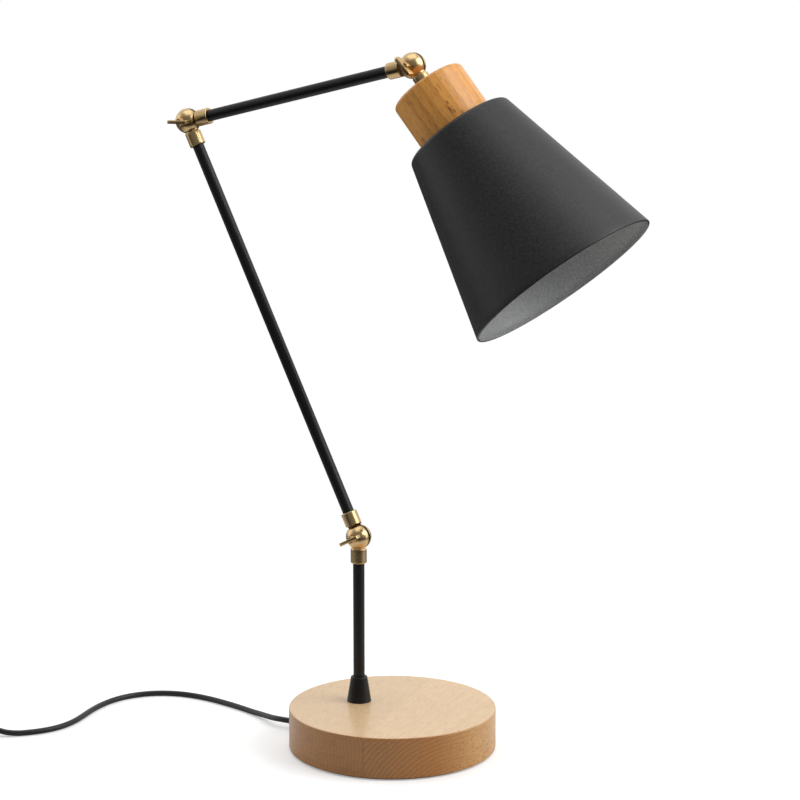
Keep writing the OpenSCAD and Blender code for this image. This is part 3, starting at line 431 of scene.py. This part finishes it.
# cord: out of the bushing, over the table, through the switch, into a tied coil and the plug (points in mm, the
# third number is the share of the way from lying on the table to the height of its end)
cordRun = {"radius": 2.5 * mm, "exit": (-0.104, 0, 0.0076), "length": 1.8, "switchHeight": 0.007}
exitRoute = np.array([
    [-90, 0, 1], [-97, 0, 1], [-104, 0, 1], [-110, 0, 1], [-117, 1, 0.93], [-125, 4.5, 0.72], [-134, 10, 0.44],
    [-144, 15.5, 0.19], [-155, 20, 0.04], [-167, 24.3, 0], [-180, 28.2, 0], [-193, 31.5, 0], [-206, 34.2, 0],
    [-219, 35.8, 0], [-231, 36, 0], [-242, 34.8, 0], [-253, 31.5, 0], [-263, 26.3, 0], [-272, 18.7, 0],
    [-279, 9.5, 0], [-284, -1, 0], [-287, -13, 0], [-288, -26, 0], [-287.5, -39, 0], [-286, -51, 0],
    [-284, -63, 0], [-282.5, -75, 0], [-282.5, -87, 0], [-284.5, -98.5, 0], [-289, -109.5, 0], [-296, -119.5, 0],
    [-305, -128.5, 0]]) / (1000, 1000, 1)
switchRoute = np.array([
    [-314.5, -135, 0.25], [-323, -139.4, 0.8], [-330.6, -142.2, 1], [-336, -143.95, 1]]) / (1000, 1000, 1)
for route, high in ((exitRoute, cordRun["exit"][2]), (switchRoute, cordRun["switchHeight"])):
    route[:, 2] = cordRun["radius"] + route[:, 2] * (high - cordRun["radius"])
overTable = smoothPath(np.vstack([exitRoute, switchRoute]), 5)
overTable[:, 2] = np.maximum(overTable[:, 2], cordRun["radius"])  # never into the table

coil = inMm({"radius": 39, "snug": 0.6, "pitch": 5.6, "low": 4.3, "leadIn": 36, "tail": 40, "grip": 17,
             "plugHeight": 6.85, "switchLength": 60, "switchWall": 3}) | {"turn": 198, "spin": 3.25}
heading = wayAt(coil["turn"], 1)
sideways = np.array([-heading[1], heading[0], 0])
up = np.array([0, 0, 1.0])
switchStart = switchRoute[-1] * (1, 1, 0) - coil["switchWall"] * heading
coilStart = switchStart + (coil["switchLength"] - coil["switchWall"]) * heading
coilMiddle = coilStart + coil["leadIn"] * heading + coil["radius"] * sideways
coilEnd = coilMiddle + coil["radius"] * sideways
plugStart = coilEnd - coil["tail"] * heading
inSwitch = coilStart + cordRun["switchHeight"] * up - switchRoute[-1]
throughSwitch = switchRoute[-1] + np.linspace(0.15, 0.9, 6)[:, None] * inSwitch
s = np.linspace(0, 1, 16, endpoint=False)[:, None]
leadIn = coilStart + s * coil["leadIn"] * heading + up * (
    cordRun["switchHeight"] + (coil["low"] - cordRun["switchHeight"]) * ease((s - 0.2) / 0.7))
t = np.linspace(0, 2 * coil["spin"], 391)[:, None]  # turns: in on the lower layer, then out on the upper one
inward = coil["spin"] - abs(t - coil["spin"])
spread = coil["radius"] - coil["pitch"] * inward - coil["snug"] * ease(inward / 0.05)
spiral = coilMiddle + up * (coil["low"] + coil["pitch"] * ease((t - 3) * 2)) + spread * (
    np.sin(2 * np.pi * t) * heading - np.cos(2 * np.pi * t) * sideways)
s = np.linspace(1 / 16, 1, 16)[:, None]
high = coil["low"] + coil["pitch"]
tailRun = coilEnd - s * coil["tail"] * heading + up * (
    high + (coil["plugHeight"] - high) * ease((s - 0.25) / 0.6))
intoPlug = plugStart - np.linspace(0.25, 1, 4)[:, None] * coil["grip"] * heading + up * coil["plugHeight"]
cordPath = np.vstack([overTable, throughSwitch, leadIn, spiral, tailRun, intoPlug])
powerLead = makePiece("powerLead", "base", "black_cable", [tubeGrid(cordPath, cordRun["radius"], 20)],
                      ("power_cord", "cord_coil"))
print("cord laid:", round(float(np.linalg.norm(np.diff(cordPath, axis=0), axis=1).sum()), 3), "m")

# base: turned disc with eased edges and a recess for the weight
base = inMm({"radius": 90, "low": 1.5, "high": 37, "edge": 1.2, "recess": 68, "ceiling": 22.5, "seat": 78.05,
             "seatHigh": 3})
profile = roundedProfile(base, [
    (0, "ceiling", 0), ("recess", "ceiling", 0), ("recess", "seatHigh", 0), ("seat", "seatHigh", 0),
    ("seat", "low", 0), ("radius", "low", "edge"), ("radius", "high", "edge"), (0, "high", 0)])
turnPiece("baseDisc", "base", "pale_beech", profile, 192, (0, 0, 0), up, "base_disc")

# post collar: a cone with a soft top edge
collar = inMm({"foot": 10.7, "top": 7.1, "high": 22.4, "hole": 5.05, "place": (-33, 0, 37), "footSoft": 0.25,
               "topSoft": 1, "holeSoft": 0.15})
profile = roundedProfile(collar, [
    ("hole", 0.5 * collar["high"], 0), ("hole", 0, 0), ("foot", 0, "footSoft"), ("top", "high", "topSoft"),
    ("hole", "high", "holeSoft"), ("hole", 0.5 * collar["high"], 0)])
turnPiece("postCollar", "base", "black_powder_coat", profile, 96, collar["place"], up, "post_collar")

# ball centres and axes, as in the part's source
arms = inMm({"postTop": (-33, 0, 184.5), "lowerLong": 391, "upperLong": 227}) | {
    "lowerTurn": 115.5, "upperTurn": 13.5, "headTurn": -51}
lowerAxis, upperAxis, headAxis = (wayAt(arms[key], 2) for key in ("lowerTurn", "upperTurn", "headTurn"))
lowerBall = np.array(arms["postTop"])
elbowBall = lowerBall + arms["lowerLong"] * lowerAxis
headBall = elbowBall + arms["upperLong"] * upperAxis

# drawn tubes of the post and the arms
tubes = inMm({"radius": 5, "bore": 4, "start": 13.5, "postFoot": 13})
for name, body, foot, axis, first, length, node in (
        ("postTube", "base", lowerBall * (1, 1, 0), up, tubes["postFoot"], lowerBall[2], "post_tube"),
        ("lowerArmTube", "lower_arm", lowerBall, lowerAxis, tubes["start"], arms["lowerLong"], "lower_arm_tube"),
        ("upperArmTube", "upper_arm", elbowBall, upperAxis, tubes["start"], arms["upperLong"], "upper_arm_tube")):
    heights = np.linspace(first, length - tubes["start"], 24)
    profile = np.vstack([[(tubes["bore"], h) for h in heights[::-1]], [(tubes["radius"], h) for h in heights],
                         [(tubes["bore"], heights[-1])]])
    turnPiece(name, body, "black_powder_coat", profile, 64, foot, axis, node)
print("base, post and arms made")

# knuckles: a split ball with a slot round the split, each half with its own ferrule, and a wing screw through both
knuckle = inMm({"ball": 11, "split": 0.4, "slot": 1, "slotIn": 8.2, "edge": 0.3, "spot": 10.31, "hole": 2.55,
                "holeDeep": 4, "ferrule": 7, "reach": 23, "capReach": 21.5, "soft": 0.7, "free": 13.3,
                "neck": 6.2, "neckTop": 9.9, "neckHigh": 7.04, "root": 6, "rootHigh": 5.5, "socket": 5.05,
                "socketDeep": 13.45, "socketSoft": 0.2})


def ballProfile(front):
    # half a ball's profile about the screw: split face with the slot, sphere sqrt(ball^2 - h^2), and in front a
    # spot face with the screw hole
    size = knuckle
    top, lip = size["spot"] if front else size["ball"], size["split"] + size["slot"]
    lean = np.linspace(math.asin((lip + size["edge"]) / size["ball"]), math.asin(top / size["ball"]), 40)
    sphere = np.stack([np.cos(lean), np.sin(lean)], 1) * size["ball"]
    rim, chamfer = sphere[0, 0], 0.3 * size["edge"]
    face = [(0, "split"), ("slotIn", "split"), ("slotIn", lip), (rim - size["edge"], lip),
            (rim - chamfer, lip + chamfer)]
    end = [("hole", top), ("hole", "holeDeep"), (0, "holeDeep")] if front else [(0, top)]
    return np.vstack([sized(size, face), sphere, sized(size, end)])


def ferruleGrid(centre, axis, side, reach):
    # a lathe about the ferrule's axis whose inner end differs: on its own side of the split it runs into the ball,
    # on the other side it stops at the sphere that the other half needs free, sqrt(free^2 - r^2)
    size = knuckle
    outer = roundedProfile(size, [(0, "socketDeep", 0), ("socket", "socketDeep", 0), ("socket", reach, "socketSoft"),
                                  ("ferrule", reach, "soft"), ("ferrule", "free", 0)])
    low, roll = size["neckTop"], size["ferrule"] - size["neck"]
    t, s = np.linspace(0, 1, 9)[1:], np.linspace(0, np.pi / 2, 5)
    shoulder = np.stack([size["neck"] + roll * np.cos(s), low + roll * (1 - np.sin(s))], 1)
    flare = math.sqrt(size["ball"] ** 2 - size["neckHigh"] ** 2) - size["neck"]
    neck = np.stack([size["neck"] + flare * t ** 1.8, low + t * (size["neckHigh"] - low)], 1)
    own = np.vstack([outer, shoulder, neck, sized(size, [("root", "rootHigh"), (0, "rootHigh")])])
    r = np.linspace(size["ferrule"], 0, 13)
    cup = np.stack([r, np.sqrt(size["free"] ** 2 - r ** 2)], 1)
    rim = np.array([(size["ferrule"], size["free"] - 0.4 * (size["free"] - cup[0, 1])), cup[0]])
    other = np.vstack([outer, rim, cup[:12] + (cup[1] - cup[0]) * 0.02, cup[12:]])
    half = np.linspace(0, 1, 33)

    def sweep(profile, start):
        # columns over half a turn, from one edge of the split plane to the other
        radius, height = profile[:, :1], profile[:, 1:]
        lean = np.arcsin(np.clip(size["split"] / np.maximum(radius, 1e-9), 0, 1))
        turn = lean + (np.pi - 2 * lean) * half if start else np.pi - lean + (np.pi + 2 * lean) * half
        return radius * np.cos(turn), radius * np.sin(turn), np.repeat(height, len(half), 1)
    ownSide, otherSide = sweep(own, True), sweep(other, False)
    x, y, z = (np.concatenate(pair, 1)[..., None] for pair in zip(ownSide, otherSide))
    return centre + x * np.cross((0, 1, 0), axis) + y * np.array([0, side, 0]) + z * axis


for name, body, centre, axis, side, reach, node in (
        ("lowerKnucklePostHalf", "base", lowerBall, -up, -1, "reach", "lower_knuckle_post_half"),
        ("lowerKnuckleArmHalf", "lower_arm", lowerBall, lowerAxis, 1, "reach", "lower_knuckle_arm_half"),
        ("elbowLowerHalf", "lower_arm", elbowBall, -lowerAxis, -1, "reach", "elbow_lower_half"),
        ("elbowUpperHalf", "upper_arm", elbowBall, upperAxis, 1, "reach", "elbow_upper_half"),
        ("headKnuckleArmHalf", "upper_arm", headBall, -upperAxis, 1, "reach", "head_knuckle_arm_half"),
        ("headKnuckleShadeHalf", "head", headBall, headAxis, -1, "capReach", "head_knuckle_shade_half")):
    ball = latheGrid(ballProfile(side < 0), 96, centre, (0, side, 0), (1, 0, 0))
    makePiece(name, body, "brass", [ball, ferruleGrid(centre, axis, side, knuckle[reach])], (node,))

wing = inMm({"size": (19.5, 7.5, 3), "corner": 2, "edge": 0.45, "boss": 3.25, "bossFrom": 10.61, "footSoft": 0.3,
             "topSoft": 0.6, "wingFrom": 12.11, "shank": 2.5, "shankFrom": 4.3})
outward = np.array([0, -1, 0])  # the way the screws are put in from
bossTop = wing["wingFrom"] + wing["size"][1] / 2
profile = roundedProfile(wing, [
    (0, "shankFrom", 0), ("shank", "shankFrom", 0), ("shank", "bossFrom", 0), ("boss", "bossFrom", "footSoft"),
    ("boss", bossTop, "topSoft"), (0, bossTop, 0)])
for name, centre, lift, node in (("lowerWingScrew", lowerBall, 28, "lower_wing_screw"),
                                 ("elbowWingScrew", elbowBall, 1, "elbow_wing_screw"),
                                 ("headWingScrew", headBall, -46, "head_wing_screw")):
    along = wayAt(lift, 2)
    bar = slabGrid(wing["size"], wing["corner"], wing["edge"], centre + bossTop * outward, along, outward,
                   np.cross(along, outward))
    boss = latheGrid(profile, 64, centre, outward, (1, 0, 0))
    makePiece(name, node, "brass", [bar, boss], (node,))
print("knuckles made")

# cap: turned beech with a soft top edge
cap = inMm({"radius": 33, "top": 21.5, "foot": 67.5, "topSoft": 3, "footSoft": 0.6, "hole": 5.05, "recess": 25,
            "inside": 31.5})
profile = roundedProfile(cap, [
    ("hole", "inside", 0), ("hole", "top", 0), ("radius", "top", "topSoft"), ("radius", "foot", "footSoft"),
    ("recess", "foot", 0), ("recess", "inside", 0), ("hole", "inside", 0)], 10)
turnPiece("turnedCap", "head", "honey_beech", profile, 160, headBall, headAxis, "cap")

# shade: spun sheet, a cone with a small rounded corner at the top and a rolled rim
shade = inMm({"top": 67.5, "mouth": 220.5, "topRadius": 47.5, "mouthRadius": 84.75, "wall": 1, "corner": 4,
              "hole": 19.8, "rim": 1}) | {"curl": (-14, 215), "blackCurlRows": 9}
slope = math.atan2(shade["mouth"] - shade["top"], shade["mouthRadius"] - shade["topRadius"])
cornerAt = np.array([shade["topRadius"] - shade["corner"] * math.tan(slope / 2), shade["top"] + shade["corner"]])
bend = np.linspace(-np.pi / 2, slope - np.pi / 2, 12)
bendLine = np.stack([np.cos(bend), np.sin(bend)], 1)
outerBend = cornerAt + shade["corner"] * bendLine
innerBend = cornerAt + (shade["corner"] - shade["wall"]) * bendLine
share = np.linspace(0, 1, 30)[1:, None]
rimAt = np.array([shade["mouthRadius"] - shade["rim"], shade["mouth"] - shade["rim"]])
curl = np.linspace(*np.radians(shade["curl"]), 14)
rimLine = rimAt + shade["rim"] * np.stack([np.cos(curl), np.sin(curl)], 1)
outerWall = outerBend[-1] + share * (rimLine[0] - outerBend[-1])
innerWall = rimLine[-1] + share * (innerBend[-1] - rimLine[-1])
profile = np.vstack([
    [(shade["hole"], shade["top"])], outerBend, outerWall[:-1], rimLine, innerWall[:-1], innerBend[::-1],
    [(shade["hole"], shade["top"] + shade["wall"]), (shade["hole"], shade["top"])]])
outsideRows = len(outerBend) + len(outerWall) + shade["blackCurlRows"]
inside = (np.arange(len(profile) - 1) >= outsideRows).astype(int)
makePiece("spunShade", "head", "black_powder_coat", [latheGrid(profile, 192, headBall, headAxis)],
          ("shade",), [shadeOutside, shadeInside], sharp=50, rowMaterial=inside)
print("cap and shade made")


def threadLine(radius, deep, pitch, run):
    # a thread drawn as rings: radius - deep * (1 + cos(2 pi height / pitch)) / 2
    return np.stack([radius - deep * (0.5 + 0.5 * np.cos(2 * np.pi * run / pitch)), run], 1)


# lampholder: sleeve with a thread, ring with grips, brass socket with its rolled thread
holder = inMm({"radius": 19.5, "shoulder": 24, "shoulderFrom": 63.5, "shadeTop": 67.5, "from": 46, "to": 89.5,
               "bore": 14.35, "floor": 57.5, "skirt": 13.4, "roof": 54.5, "plainTo": 76.6, "threadFrom": 77.2,
               "threadTo": 88.3, "thread": 0.5, "pitch": 3, "tip": 19.3, "tipFrom": 88.5, "tipSoft": 0.5,
               "boreSoft": 0.4})
ridge = threadLine(holder["radius"], holder["thread"], holder["pitch"],
                   np.linspace(holder["threadFrom"], holder["threadTo"], 60))
profile = np.vstack([
    sized(holder, [("skirt", "roof"), ("skirt", "from"), ("radius", "from"), ("radius", "shoulderFrom"),
                   ("shoulder", "shoulderFrom"), ("shoulder", "shadeTop"), ("radius", "shadeTop"),
                   ("radius", "plainTo")]), ridge,
    roundedProfile(holder, [("tip", "tipFrom", 0), ("tip", "to", "tipSoft"), ("bore", "to", "boreSoft"),
                            ("bore", "floor", 0), (0, "floor", 0)]),
    sized(holder, [(0, "roof"), ("skirt", "roof")])])
turnPiece("lampholderSleeve", "head", "white_plastic", profile, 128, headBall, headAxis, "lampholder_sleeve")

ring = inMm({"inner": 19.55, "outer": 26, "from": 68.5, "middle": 72, "to": 76.5, "notch": 0.7, "notchFrom": 22,
             "footSoft": 0.6, "topSoft": 1.5, "innerSoft": 0.3}) | {"grips": 24, "steps": 192}
profile = roundedProfile(ring, [
    ("inner", "middle", 0), ("inner", "from", 0), ("outer", "from", "footSoft"), ("outer", "to", "topSoft"),
    ("inner", "to", "innerSoft"), ("inner", "middle", 0)])
grip = latheGrid(profile, ring["steps"], headBall, headAxis)
axisPoint = headBall + profile[:, 1, None, None] * headAxis
turn = np.arange(ring["steps"]) * 2 * np.pi / ring["steps"]
dip = ring["notch"] * np.clip(np.cos(ring["grips"] * turn) - 0.2, 0, 1)[None, :, None] * (
    profile[:, 0, None, None] > ring["notchFrom"])  # shallow grips round the outside
grip = axisPoint + (grip - axisPoint) * (1 - dip / profile[:, 0, None, None])
makePiece("shadeRing", "head", "white_plastic", [grip], ("shade_ring",))

socket = inMm({"radius": 13.4, "wall": 0.9, "from": 57.5, "to": 87.5, "pitch": 3.63, "deep": 0.55, "hole": 6.5,
               "floor": 1, "floorRadius": 12.6, "mouth": 0.2, "rollFrom": 2, "rollTo": 1})
run = np.linspace(socket["from"] + socket["rollFrom"], socket["to"] - socket["rollTo"], 90)[::-1]
roll = threadLine(socket["radius"], socket["deep"], socket["pitch"], run)
shell, floor = socket["radius"] + socket["wall"], socket["from"] + socket["floor"]
profile = np.vstack([
    sized(socket, [("hole", "from"), (shell, "from"), (shell, "to"), (socket["radius"] + socket["mouth"], "to")]),
    roll, sized(socket, [("floorRadius", floor), ("hole", floor), ("hole", "from")])])
turnPiece("socketShell", "head", "brass", profile, 96, headBall, headAxis, "socket_shell")
print("lampholder made")


def reliefGrooves(share, count, deep, first, last):
    # grooves of a strain relief: deep * (2 cos(2 pi count share) - 0.6), held to 0..deep, between two shares
    return deep * np.clip(np.cos(2 * np.pi * share * count) * 2 - 0.6, 0, 1) * (share > first) * (share < last)


# bushing in the wall of the base: flange, then a tapered strain relief with grooves
bushing = inMm({"body": 3.6, "from": 67, "boreMiddle": 80, "seat": 90.3, "flange": 6, "flangeThick": 2, "root": 4.7,
                "tip": 3.2, "end": 104, "bore": 2.55, "height": 7.6, "soft": 0.3, "flangeSoft": 0.7, "groove": 0.35,
                "tipLong": 0.5, "tipDraw": 0.4}) | {"grooves": 4}
flangeTop = bushing["seat"] + bushing["flangeThick"]
run = np.linspace(flangeTop, bushing["end"] - bushing["tipLong"], 48)
part = (run - run[0]) / (run[-1] - run[0])
taper = bushing["root"] + (bushing["tip"] - bushing["root"]) * part
taper = taper - reliefGrooves(part, bushing["grooves"], bushing["groove"], 0.1, 0.93)
profile = np.vstack([
    roundedProfile(bushing, [
        ("bore", "boreMiddle", 0), ("bore", "from", 0), ("body", "from", "soft"), ("body", "seat", 0),
        ("flange", "seat", "soft"), ("flange", flangeTop, "flangeSoft"), (taper[0], run[0], 0)]),
    np.stack([taper, run], 1)[1:],
    sized(bushing, [(bushing["tip"] - bushing["tipDraw"], "end"), ("bore", "end"), ("bore", "boreMiddle")])])
turnPiece("cordBushing", "base", "black_cable", profile, 64, (0, 0, bushing["height"]), (-1, 0, 0),
          "cord_bushing", [blackAbs])

# cord switch: two half shells with soft edges, a window in the upper one, and a rocker
switch = inMm({"length": 60, "width": 26, "high": 14, "split": 7, "corner": 8, "edge": 2.2, "window": (22.8, 11),
               "windowCorner": 0.8, "axle": 11, "wall": 2.5, "floor": 2, "lip": 0.3, "gap": 0.02})
switchMiddle = switchStart + switch["length"] / 2 * heading


def shellRings(levels):
    # outlines of the shell: each level is (height, draw-in, share of the way to the window's outline)
    outlines = []
    for height, draw, window in levels:
        outer = roundRect(switch["length"] - 2 * draw, switch["width"] - 2 * draw, switch["corner"] - draw)
        hole = roundRect(*switch["window"], switch["windowCorner"])
        flat = outer + window * (hole - outer)
        outlines.append(switchMiddle + flat[:, :1] * heading + flat[:, 1:] * sideways + height * up)
    return np.stack(outlines)


quarter = np.linspace(0, np.pi / 2, 6)
split, high, wall, lip, edge = (switch[key] for key in ("split", "high", "wall", "lip", "edge"))
seam, roof, footEdge = split - switch["gap"], split + switch["floor"], 0.6 * edge
softTop = [(high - edge * (1 - math.sin(q)), edge * (1 - math.cos(q)), 0) for q in quarter]
softFoot = [(footEdge * (1 - math.sin(q)), footEdge * (1 - math.cos(q)), 0) for q in quarter[::-1]]
cover = shellRings([(split, wall, 0), (split, lip, 0), (split + lip, 0, 0)] + softTop + [
    (high, 1.3 * edge, 0), (high, 0, 0.97), (high - lip, 0, 1), (roof, 0, 1), (roof, wall, 0)])
makePiece("switchCover", "base", "black_plastic", [cover], ("switch_cover",), loop=True)
foot = shellRings([(0, 0, 1)] + softFoot[:1] + softFoot + [
    (split - lip, 0, 0), (seam, lip, 0), (seam, wall, 0), (switch["floor"], wall, 0), (switch["floor"], 0, 1)])
foot = np.concatenate([foot[:1] * 0 + switchMiddle, foot, foot[:1] * 0 + switchMiddle + switch["floor"] * up])
makePiece("switchFoot", "base", "black_plastic", [foot], ("switch_base",))

rocker = inMm({"length": 21, "width": 10.4, "high": 8, "horn": 0.8, "dip": 0.6, "soft": 0.9, "chin": 1.5,
               "footSoft": 0.5, "dipSoft": 3}) | {"tilt": 8}
half, top = rocker["length"] / 2, rocker["high"] / 2
chin, horn = rocker["chin"] - top, top + rocker["horn"]
outline = roundedProfile(rocker, [
    (0, -top, 0), (half / 2, -top, "footSoft"), (half, chin, "footSoft"), (half, horn, "soft"),
    (0, top - rocker["dip"], "dipSoft"), (-half, horn, "soft"), (-half, chin, "footSoft"),
    (-half / 2, -top, "footSoft"), (0, -top, 0)])[:-1]
tilt = math.radians(rocker["tilt"])
tipped = math.cos(tilt) * heading - math.sin(tilt) * up
raised = math.sin(tilt) * heading + math.cos(tilt) * up
axle = switchMiddle + switch["axle"] * up
layers = [(-1, 0), (-1, 0.93), (-0.985, 0.97), (-0.94, 1), (0.94, 1), (0.985, 0.97), (1, 0.93), (1, 0)]
block = np.stack([axle + scale * (outline[:, :1] * tipped + outline[:, 1:] * raised)
                  + share * rocker["width"] / 2 * sideways for share, scale in layers])
makePiece("switchRocker", "switch_rocker", "black_plastic", [block], ("switch_rocker",))

# plug: neck with strain relief grooves, then a flat body that narrows to the pins
plug = inMm({"neckLong": 21, "long": 34, "neck": (3.75, 4.75), "back": 34, "face": 26, "thick": 13.7, "height": 6.85,
             "groove": 0.5, "corner": 3.4, "faceSoft": 0.8, "leastCorner": 0.5, "hair": 0.001, "pinPitch": 19,
             "pin": 2, "pinLong": 19, "pinRoot": -3, "sleeveTo": 9.5, "bareFrom": 9.8, "bareOn": 10.2,
             "bare": 1.86}) | {"grooves": 5}
run = np.concatenate([np.linspace(0, 0.98, 44) * plug["neckLong"], plug["neckLong"] + plug["long"] * np.array(
    [0.02, 0.05, 0.09, 0.13, 0.17, 0.21, 0.25, 0.29, 0.34, 0.4, 0.5, 0.6, 0.7, 0.8, 0.9, 0.95, 0.975, 0.99, 1.0])])
neckShare = np.clip(run / plug["neckLong"], 0, 1)
neckRadius = plug["neck"][0] + (plug["neck"][1] - plug["neck"][0]) * neckShare
neckRadius = neckRadius - reliefGrooves(neckShare, plug["grooves"], plug["groove"], 0.12, 0.92)
bodyShare = np.clip((run - plug["neckLong"]) / plug["long"], 0, 1)
swell = ease(bodyShare / 0.28)
narrow = ease((bodyShare - 0.35) / 0.65) * (plug["back"] - plug["face"])
width = 2 * neckRadius + swell * (plug["back"] - 2 * neckRadius) - narrow
thick = 2 * neckRadius + swell * (plug["thick"] - 2 * neckRadius)
rounding = neckRadius + swell * (plug["corner"] - neckRadius)
front = np.clip((bodyShare - 0.95) / 0.05, 0, 1)
close = plug["faceSoft"] * (1 - np.sqrt(np.clip(1 - front ** 2, 0, 1)))  # soft front edge
rings = np.stack([roundRect(w - 2 * c, h - 2 * c, max(r - c, plug["leastCorner"]) - plug["hair"], 6)
                  for w, h, r, c in zip(width, thick, rounding, close)])
rings = np.concatenate([rings[:1] * 0, rings, rings[:1] * 0])
run = np.concatenate([run[:1], run, run[-1:]])[:, None, None]
neckStart = plugStart + plug["height"] * up
plugBody = makePiece("plugBody", "base", "black_plastic", [
    neckStart - run * heading - rings[..., :1] * sideways + rings[..., 1:] * up], ("plug_body",))

faceAt = neckStart - (plug["neckLong"] + plug["long"]) * heading
dome = np.linspace(0, np.pi / 2, 8)
tip = np.stack([plug["bare"] * np.cos(dome), plug["pinLong"] - plug["pin"] + plug["pin"] * np.sin(dome)], 1)
profile = np.vstack([sized(plug, [
    (0, "pinRoot"), ("pin", "pinRoot"), ("pin", "sleeveTo"), ("bare", "bareFrom"), ("bare", "bareOn")]), tip])
pins = [latheGrid(profile, 40, faceAt + k * plug["pinPitch"] / 2 * sideways, -heading, up) for k in (-1, 1)]
coating = np.tile((np.arange(len(profile) - 1) >= 3).astype(int), 2)  # bare metal past the black sleeve
plugPins = makePiece("plugPins", "base", "steel", pins, ("plug_pins",), [blackAbs, nickel], rowMaterial=coating)

# strap round the turns of the coil
tie = inMm({"inner": 20.3, "outer": 38.1, "thick": 1, "half": 4, "high": 14.2, "corner": 2, "soft": 0.25}) | {
    "turn": 18}
radial = wayAt(tie["turn"], 1)
tieMiddle = coilMiddle + 0.5 * (tie["inner"] + tie["outer"]) * radial + 0.5 * tie["high"] * up
span = tie["outer"] - tie["inner"] + 2 * tie["thick"]
band = []
for draw, reach in ((0, 1), (0, -1), (1, -2), (3, -2), (4, -1), (4, 1), (3, 2), (1, 2)):  # round its section
    inset = draw * tie["thick"] / 4
    lie = np.sign(reach) * (tie["half"] - (tie["soft"] if abs(reach) == 1 else 0))
    flat = roundRect(span - 2 * inset, tie["high"] - 2 * inset, tie["corner"] - inset)
    band.append(tieMiddle + flat[:, :1] * radial + flat[:, 1:] * up + lie * np.cross(radial, up))
cordTie = makePiece("cordTie", "base", "black_plastic", [np.stack(band)], ("cord_tie",), [wovenStrap], loop=True)
print("switch, plug and tie made")

# floor and studio: a white table that fades into a white surround, dark room on the camera's side, four soft boxes
studio = {"reach": 60, "floor": 0.82, "bounce": 0.5, "farFloor": 0.04, "wideFloor": 0.15, "nearLift": 0.32,
          "fadeFrom": 0.3, "fadeTo": 0.75, "darkFrom": 0.16, "darkTo": 0.42, "toCamera": (0.471, -0.882, 0),
          "back": 0.95, "front": 0.21, "turnOver": 0.8, "behind": (-0.468, 0.884, 0), "aim": (0, 0, 0.3)}
white = (1, 1, 1, 1)
mesh = bpy.data.meshes.new("tableTop")
mesh.from_pydata([(x * studio["reach"], y * studio["reach"], 0) for x, y in ((-1, -1), (1, -1), (1, 1), (-1, 1))],
                 [], [(0, 1, 2, 3)])
tableTop = bpy.data.objects.new("tableTop", mesh)
scene.collection.objects.link(tableTop)
floorPaint = bpy.data.materials.new("whiteTable")
floorPaint.use_nodes = True
floorPaint.node_tree.nodes.clear()
add = partial(addNode, floorPaint.node_tree)
ray = add("LightPath", out=None).outputs
place = add("TexCoord", out="Object")
distance = add("VectorMath", {0: place}, "Value", operation="LENGTH")
fade = add("MapRange", {0: distance, 1: studio["fadeFrom"], 2: studio["fadeTo"]}, **smooth)
toCamera = add("VectorMath", {0: place, 1: studio["toCamera"]}, "Value", operation="DOT_PRODUCT")
frontShare = add("MapRange", {0: toCamera, 1: studio["darkFrom"], 2: studio["darkTo"], 3: studio["floor"],
                              4: studio["farFloor"]}, **smooth)
wideShare = add("MapRange", {0: distance, 1: studio["fadeFrom"], 2: studio["fadeTo"], 3: 1.0,
                             4: studio["wideFloor"]}, **smooth)
mirrored = add("Math", {0: frontShare, 1: wideShare}, operation="MULTIPLY")
level = add("Mix", {0: ray["Is Glossy Ray"], 2: studio["bounce"], 3: mirrored})
tone = add("CombineColor", {0: level, 1: level, 2: level})
matt = add("BsdfDiffuse", {0: tone})
lift = add("Emission", {0: white, 1: studio["nearLift"]})
near = add("BsdfDiffuse", {0: (studio["floor"], studio["floor"], studio["floor"], 1)})
lifted = add("AddShader", {0: near, 1: lift})
glow = add("Emission", {0: white, 1: 1.0})
seen = add("MixShader", {0: fade, 1: lifted, 2: glow})
choice = add("MixShader", {0: ray["Is Camera Ray"], 1: matt, 2: seen})
add("OutputMaterial", {0: choice}, None)
mesh.materials.append(floorPaint)

world = bpy.data.worlds.new("studio")
scene.world = world
world.use_nodes = True
world.node_tree.nodes.clear()
add = partial(addNode, world.node_tree)
ray = add("LightPath", out=None).outputs
way = add("TexCoord", out="Generated")
behind = add("VectorMath", {0: way, 1: studio["behind"]}, "Value", operation="DOT_PRODUCT")
shadeOf = add("MapRange", {0: behind, 1: -studio["turnOver"], 2: studio["turnOver"], 3: studio["front"],
                           4: studio["back"]}, **smooth)
room = add("Background", {0: white, 1: shadeOf})
plain = add("Background", {0: white, 1: 1.0})
surround = add("MixShader", {0: ray["Is Camera Ray"], 1: room, 2: plain})
add("OutputWorld", {0: surround}, None)

for name, place, size, watts in (("keySoftBox", (1.35, 0.25, 1.45), (1.3, 1.2), 18.5),
                                 ("topSoftBox", (-0.1, -0.1, 2.2), (1.6, 1.6), 9),
                                 ("sideSoftBox", (1.5, 0.55, 0.55), (0.5, 1.1), 3.2),
                                 ("leftSoftBox", (-1.5, -0.4, 0.7), (1.1, 1.4), 3)):
    lamp = bpy.data.lights.new(name, "AREA")
    lamp.shape, lamp.size, lamp.size_y, lamp.energy = "RECTANGLE", *size, watts
    soft = bpy.data.objects.new(name, lamp)
    soft.location = place
    aim = np.array(studio["aim"]) - np.array(place)
    yaw, tip = math.atan2(aim[1], aim[0]), math.atan2(np.hypot(aim[0], aim[1]), -aim[2])
    soft.rotation_euler = (tip, 0, yaw - math.pi / 2)
    soft.visible_camera = False
    scene.collection.objects.link(soft)
print("studio lit")
